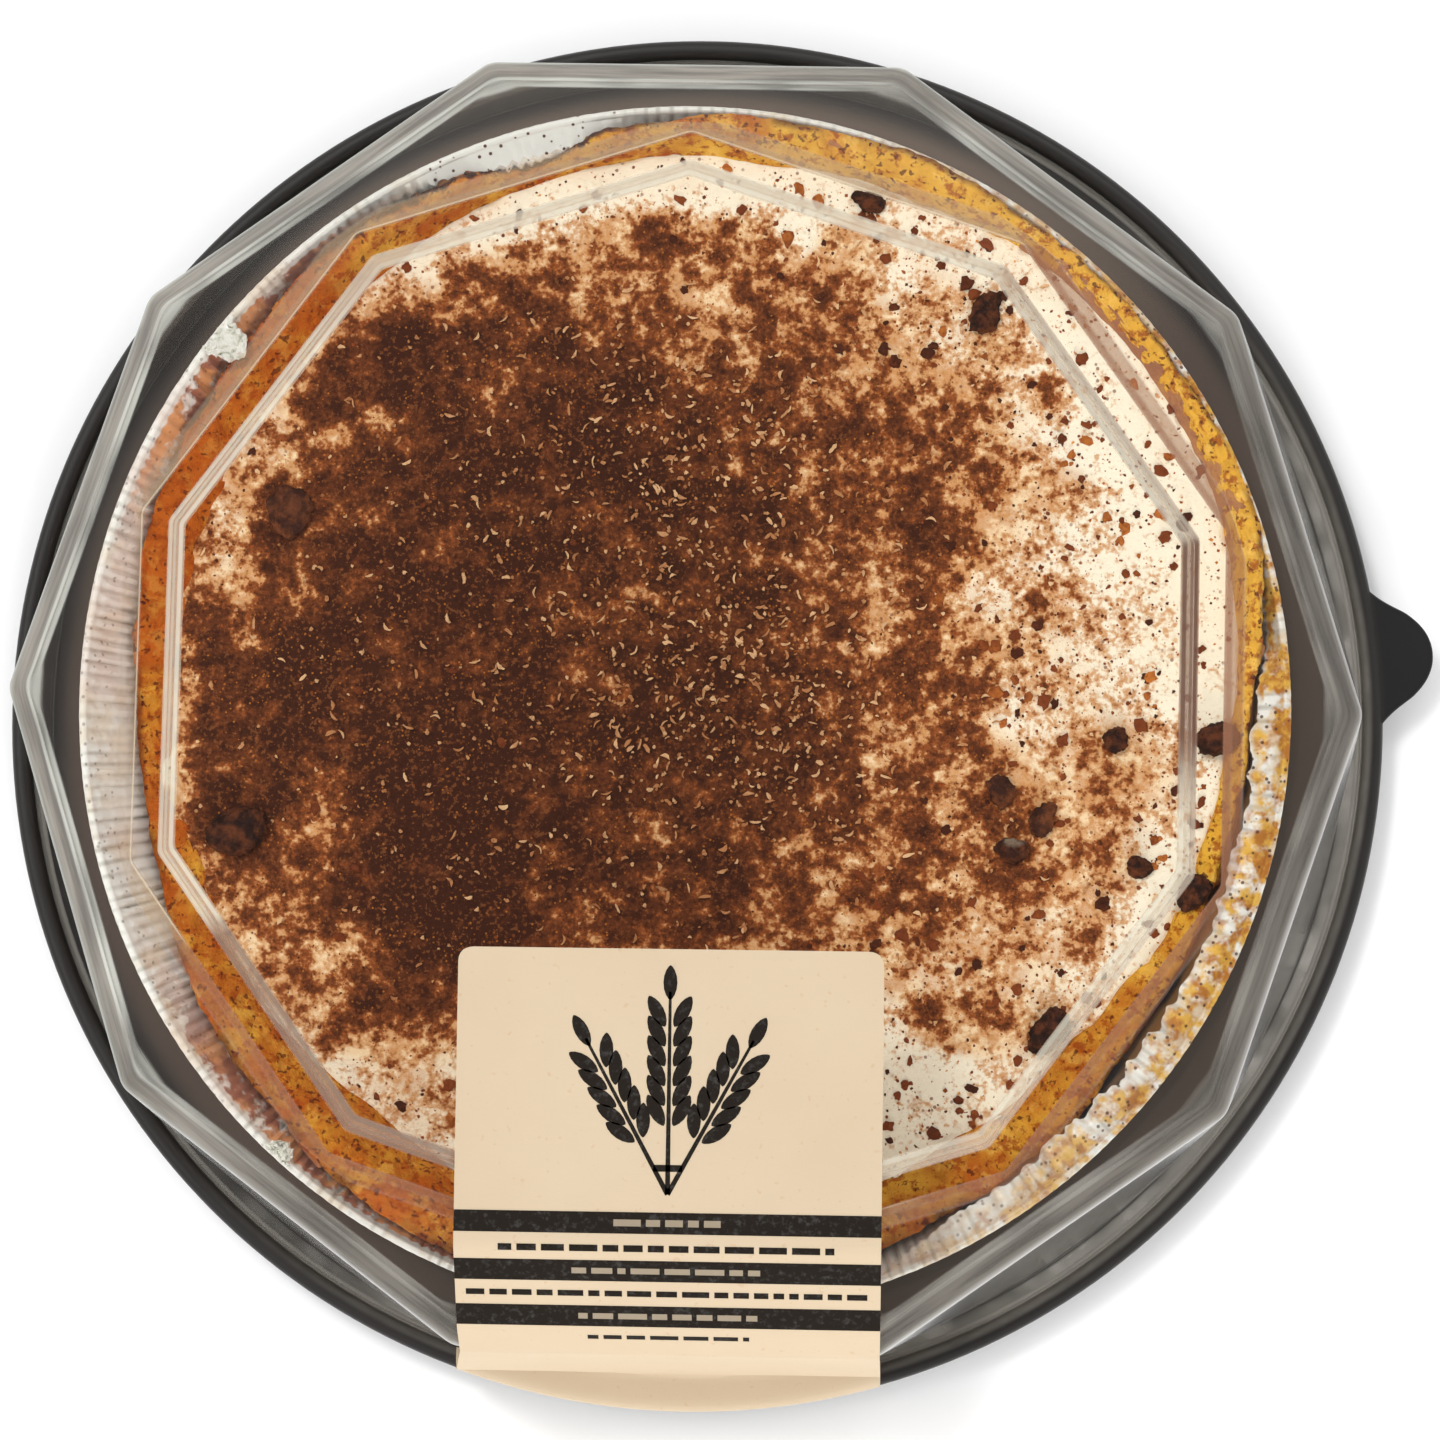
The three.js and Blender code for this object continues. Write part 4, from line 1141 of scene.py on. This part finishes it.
def lidFinish():
    # See-through plastic: a mirror by its angle, and milky along each ridge, partly from the drawn sheet and
    # partly as painted highlights and shade for the ridge's refraction
    finish = Finish("clear_plastic")
    facing = finish.node("ShaderNodeLayerWeight", None, {"Blend": 0.5}, output="Facing")
    mirror = 0.009 + 0.85 * facing ** 5
    height = finish.along("Z") * 1000
    normal = finish.node("ShaderNodeNewGeometry", output="Normal")
    steep = 1 - finish.along("Z", normal).size().above(0.968, 0.99)

    def milkAndHighlight(name):
        level, reach, edge = lidRidges[name]
        return (1 - (height - level).size().above(edge * reach, reach)) * steep

    # Pale towards the light, and darker where the thick sheet is turned away from it
    reach, east, north = finish.compass()
    lit = (north * 0.75 - east * 0.65).above(-0.35, 0.25)
    pinkish = (east - north).above(1.05, 1.25)
    lower = (1 - north.above(-0.48, -0.42)) * (1 - east.above(-0.1, 0.1))
    corner = east.above(0.55, 0.62) * north.above(0.3, 0.33)
    rightmost = east.above(0.944, 0.958) * (1 - pinkish)
    turned = rightmost + lower * 0.85 + corner * 0.4
    leftmost = 1 - east.above(-0.97, -0.93)
    topmost = north.above(0.7, 0.8)
    ledgeDark = east.above(0.3, 0.5) * (1 - north.above(0.78, 0.82)) + lower
    ledgeShare = 0.4 - 0.28 * leftmost + 0.08 * topmost + 0.2 * ledgeDark * north.above(-0.35, -0.2)
    lineShare = 0.58 + 0.16 * turned + 0.16 * rightmost - 0.26 * pinkish - 0.2 * topmost
    streak = finish.grain(1.2, 2, 0.5, stretch=(0.12, 0.12, 1.7)).above(0.3, 0.7)
    # Each ridge: how milky it is, and two tints that a direction mask blends, which are painted light and
    # shade
    layers = [
        ("foot", 0.4, tone(176, 172, 164), tone(176, 172, 164), lit),
        ("band", 0.22 + 0.34 * streak, tone(132, 126, 118), tone(182, 175, 165), lit),
        ("ledge", ledgeShare, tone(166, 142, 114), tone(142, 96, 70), ledgeDark),
        ("riser", 0.36 + 0.12 * topmost + 0.1 * lower + 0.2 * rightmost, tone(192, 178, 156),
         tone(136, 106, 90), turned),
        ("rimLine", 0.64, tone(224, 222, 218), tone(208, 210, 202), lit),
        ("shoulderLine", 0.25 + 0.45 * streak, tone(150, 146, 138), tone(218, 219, 210), lit),
        ("ledgeLine", 0.5, tone(214, 196, 168), tone(146, 100, 78), ledgeDark),
        ("riserLow", lineShare, tone(216, 213, 196), tone(98, 68, 54), turned),
        ("riserHigh", lineShare, tone(220, 218, 202), tone(98, 70, 56), turned),
    ]
    tinted = tone(176, 172, 164)
    # A little haze towards +Y, outside the inner rings, paints a lighter veil there
    haze = 0.003 + 0.03 * north.above(0.55, 0.9) * reach.above(0.095, 0.105)
    for name, share, away, towards, light in layers:
        here = milkAndHighlight(name)
        tinted = finish.blend(here, tinted, finish.blend(light, away, towards))
        haze = haze + (share - haze) * here
    # A soft sheen along the flat flange on the side turned from the light
    flange = reach.above(0.1264, 0.1272) * (1 - steep) * (east - north).above(-0.3, 0.9)
    haze = haze + flange * (0.12 + 0.5 * finish.grain(5, 2, 0.5).above(0.3, 0.75))
    thin = finish.node("ShaderNodeBsdfTransparent", None, {"Color": tone(245, 244, 243)})
    smoky = finish.node("ShaderNodeBsdfTransparent", None, {"Color": tone(158, 155, 148)})
    clear = finish.node("ShaderNodeMixShader", None, {0: milkAndHighlight("band"), 1: thin, 2: smoky})
    gloss = finish.principled(Base_Color=(1, 1, 1, 1), Metallic=1.0, Roughness=0.14)
    glassy = finish.node("ShaderNodeMixShader", None, {0: mirror, 1: clear, 2: gloss})
    cloudy = finish.principled(Base_Color=tinted, Roughness=0.5, Specular_IOR_Level=0.12)
    return finish.done(finish.node("ShaderNodeMixShader", None, {0: haze, 1: glassy, 2: cloudy}))


addLid()
print("stage 8: clear lid")


# Paper label, from the panel over the front side and round the tray's rim
labelShape = dict(half=37.9, halfAtRim=40.9, slant=-2.6, corner=2.8, lift=0.15, thickness=0.15, step=1.0)
labelPath = [(-45, 70), (-72, 70), (-98, 70), (-113.4, 61.6), (-118.1, 56.0), (-122.2, 34.3), (-126.6, 13.3),
             (-132.6, 12.0), (-133.95, 11.4), (-134.0, 8.0)]


def labelStations():
    # The path cut into even steps and slightly rounded, as (length so far, y, z)
    spots = [Vector((y, z)) for y, z in labelPath]
    fine = []
    travelled = 0
    for a, b in zip(spots, spots[1:]):
        pieces = max(1, round((b - a).length / labelShape["step"]))
        for k in range(pieces):
            t = k / pieces
            fine.append((travelled + (b - a).length * t, a.lerp(b, t)))
        travelled += (b - a).length
    fine.append((travelled, spots[-1]))
    made = []
    for k, (length, spot) in enumerate(fine):
        near = [fine[min(max(k + d, 0), len(fine) - 1)][1] for d in (-1, 0, 1)]
        soft = (near[0] + 2 * near[1] + near[2]) / 4
        made.append((length, soft.x, soft.y))
    return made


stations = labelStations()
labelLength = stations[-1][0]


def pathAt(along):
    lengths, ys, zs = zip(*stations)
    return Vector((float(np.interp(along, lengths, ys)), float(np.interp(along, lengths, zs))))


def labelPoint(across, along, lift):
    # across is -1 to 1, along is millimetres from the top edge, lift is off the paper's underside
    y, z = pathAt(along)
    run = (pathAt(min(along + 0.5, labelLength)) - pathAt(max(along - 0.5, 0))).normalized()
    low = 1 - min(max((z - 12) / 44, 0), 1)
    width = labelShape["half"] + (labelShape["halfAtRim"] - labelShape["half"]) * low
    x = across * width + labelShape["slant"] * low - 0.3
    out = labelShape["lift"] + lift
    onRim = min(max((15.5 - z) / 3.5, 0), 1)
    if onRim > 0:
        y = y * (1 - onRim) - onRim * math.sqrt(y * y - x * x)
    return Vector((x * mm, (y + run.y * out) * mm, (z - run.x * out) * mm))


def addLabel():
    s = labelShape
    columns = 40
    rows = []
    for k in range(7):
        turn = math.radians(15 * k)
        rows.append((s["corner"] * (1 - math.cos(turn)), s["half"] - s["corner"] * (1 - math.sin(turn))))
    rows += [(length, s["half"]) for length, _, _ in stations if length > s["corner"] + 0.4]
    points = []
    for lift in (0, s["thickness"]):
        for along, half in rows:
            for i in range(columns + 1):
                across = (i / columns * 2 - 1) * half / s["half"]
                points.append(labelPoint(across, along, lift))
    count = len(rows) * (columns + 1)
    flat = bands(len(rows), columns + 1, closed=False)
    faces = flat + [tuple(count + k for k in reversed(face)) for face in flat]
    border = gridBorder(len(rows), columns + 1)
    faces += [(after, here, count + here, count + after)
              for here, after in zip(border, border[1:] + border[:1])]
    label = addMesh("paper_label", points, faces)
    fixNormals(label)
    smoothFaces(label, 40)
    finish = Finish("kraft_paper")
    fibre = finish.grain(0.5, 3, 0.7, stretch=(1, 2.5, 1))
    cloud = finish.grain(16, 3, 0.6)
    colour = finish.blend(cloud, tone(206, 187, 160), tone(196, 175, 146))
    flecked = finish.blend(finish.grain(0.7, 2, 0.5).above(0.66, 0.74) * 0.35, colour, tone(190, 150, 112))
    material = finish.done(finish.principled(
        Base_Color=flecked, Roughness=0.72 + 0.12 * fibre, Normal=finish.bump(fibre, 0.05, 0.6)))
    finishPiece(label, material, "label", "label")


# Print: three dark bands, rows of plain dashes, and a sheaf of three ears of grain; no letters
printShape = dict(
    bands=[(46.8, 50.6), (55.6, 60.0), (65.2, 69.6)], bandDashes=[9.5, 17, 16],
    rows=[(53.2, 30), (62.6, 36), (72.4, 14.5)], dashHeight=1.2,
    foot=(0, 43.6), ears=[dict(lean=0, stem=14.8, pairs=6), dict(lean=0.5, stem=13.6, pairs=5),
                          dict(lean=-0.5, stem=13.6, pairs=5)],
    grain=(6.2, 2.5), spacing=3.5, inks=dict(dark=tone(27, 20, 13), light=tone(150, 136, 116)),
)


def addPrint():
    s = printShape
    points = {"dark": [], "light": []}
    faces = {"dark": [], "light": []}

    def sheet(ink, left, right, top, bottom, lift=0.0):
        # A rectangle in millimetres across and down, split so that it follows the bends
        wide = max(1, round((right - left) / 3))
        tall = max(1, round((bottom - top) / 0.7))
        start = len(points[ink])
        for j in range(tall + 1):
            for i in range(wide + 1):
                across = (left + (right - left) * i / wide) / labelShape["half"]
                along = top + (bottom - top) * j / tall
                points[ink].append(labelPoint(across, along, labelShape["thickness"] + 0.03 + lift))
        for j in range(tall):
            for i in range(wide):
                a = start + j * (wide + 1) + i
                faces[ink].append((a, a + wide + 1, a + wide + 2, a + 1))

    def outline(spots):
        # A flat shape on the level part, from points across and down
        start = len(points["dark"])
        for x, y in spots:
            points["dark"].append(labelPoint(x / labelShape["half"], y, labelShape["thickness"] + 0.03))
        faces["dark"].append(tuple(start + k for k in range(len(spots))))

    def ear(lean, stem, pairs):
        # A stem that starts at the foot, pairs of pointed grains, and one grain at the tip
        up = Vector((math.sin(lean), -math.cos(lean)))
        side = Vector((-up.y, up.x))
        foot = Vector(s["foot"])
        tip = foot + up * (stem + s["spacing"] * pairs)
        outline([foot - side * 0.45, foot + side * 0.45, tip + side * 0.25, tip - side * 0.25])

        def grain(spot, turn):
            ahead = up * math.cos(turn) + side * math.sin(turn)
            wide = Vector((-ahead.y, ahead.x))
            length, width = s["grain"]
            spots = []
            for k in range(16):
                a = k / 16 * fullTurn
                spots.append(spot + ahead * (length / 2 * math.cos(a)) + wide * (
                    width / 2 * math.sin(a) * abs(math.sin(a)) ** 0.4))
            outline(spots)

        for k in range(pairs):
            along = foot + up * (stem + s["spacing"] * k)
            grain(along + side * 2.3, 0.5)
            grain(along - side * 2.3, -0.5)
        grain(tip + up * 1.6, 0)

    def dashes(ink, y, half, seed, lift=0.0):
        draw = random.Random(seed)
        x = -half
        while x < half - 1:
            long = min(draw.uniform(1.4, 5.2), half - x)
            sheet(ink, x, x + long, y - s["dashHeight"] / 2, y + s["dashHeight"] / 2, lift)
            x += long + 0.9

    for k, (top, bottom) in enumerate(s["bands"]):
        sheet("dark", -labelShape["half"], labelShape["half"], top, bottom)
        dashes("light", (top + bottom) / 2, s["bandDashes"][k], 70 + k, 0.03)
    for k, (y, half) in enumerate(s["rows"]):
        dashes("dark", y, half, 80 + k)
    for each in s["ears"]:
        ear(**each)
    sheet("dark", -2.6, 2.6, s["foot"][1] - 5.2, s["foot"][1] - 4.0)
    for ink in ("dark", "light"):
        thing = addMesh(f"label_print_{ink}", points[ink], faces[ink])
        fixNormals(thing)
        addModifier(thing, "SOLIDIFY", thickness=0.015 * mm, offset=0)
        finish = Finish(f"ink_{ink}")
        wear = finish.grain(0.6, 3, 0.7)
        faded = tuple(0.93 * part + 0.07 * 0.5 for part in s["inks"][ink][:3]) + (1.0,)
        colour = finish.blend(wear.above(0.5, 0.75), s["inks"][ink], faded)
        finishPiece(thing, finish.done(finish.principled(
            Base_Color=colour, Roughness=0.62 + 0.1 * wear, Specular_IOR_Level=0.2)), "label")


addLabel()
addPrint()
print("stage 9: label and print")


# Pale floor and soft studio light. The sky is dark straight above, so that the lid's flat top stays clear;
# a bright ring round that, strongest on one side, gives the contents their light
studio = dict(
    floorSize=6, sky=0.82, zenith=0.03, ring=2.72, ringStart=(0.865, 0.885), ringEnd=(0.932, 0.946),
    ringSide=(-0.62, 0.78), lamps=[dict(name="key_lamp", power=7.8, size=0.26, at=(-0.447, 0.562, 1.54)),
                                   dict(name="front_lamp", power=11, size=0.6, at=(0.2, -1.4, 0.5))],
)


def addLamp(name, power, size, at):
    data = bpy.data.lights.new(name, "AREA")
    data.energy = power
    data.size = size
    lamp = bpy.data.objects.new(name, data)
    lamp.location = at
    lamp.rotation_euler = (-Vector(at)).to_track_quat("-Z", "Y").to_euler()
    lamp.visible_glossy = False
    bpy.context.scene.collection.objects.link(lamp)


def addSky():
    sky = Finish("studio_sky", world=True)
    up = sky.along("Z")
    side = sky.along("X") * studio["ringSide"][0] + sky.along("Y") * studio["ringSide"][1]
    ring = up.above(*studio["ringStart"]) * (1 - up.above(*studio["ringEnd"]))
    lean = (side * 2.2 + 0.75).above(0.0, 1.6) * 1.7 + 0.15
    level = studio["sky"] * (1 - up.above(*studio["ringStart"]))
    level = level + studio["ring"] * ring * lean + studio["zenith"]
    glow = sky.node("ShaderNodeBackground", None, {"Color": (1, 1, 1, 1), "Strength": level})
    bpy.context.scene.world = sky.done(glow, "ShaderNodeOutputWorld")


def addFloor():
    half = studio["floorSize"] / 2
    floor = addMesh("floor", [(-half, -half, 0), (half, -half, 0), (half, half, 0), (-half, half, 0)],
                    [(0, 1, 2, 3)])
    finish = Finish("pale_floor")
    colour = finish.blend(finish.grain(60, 2, 0.5), (0.92, 0.92, 0.92, 1), (0.94, 0.94, 0.94, 1))
    floor.data.materials.append(finish.done(finish.principled(Base_Color=colour, Roughness=0.9)))


for lamp in studio["lamps"]:
    addLamp(**lamp)
addSky()
addFloor()
bpy.context.scene.view_settings.view_transform = "Standard"
print("stage 10: studio")
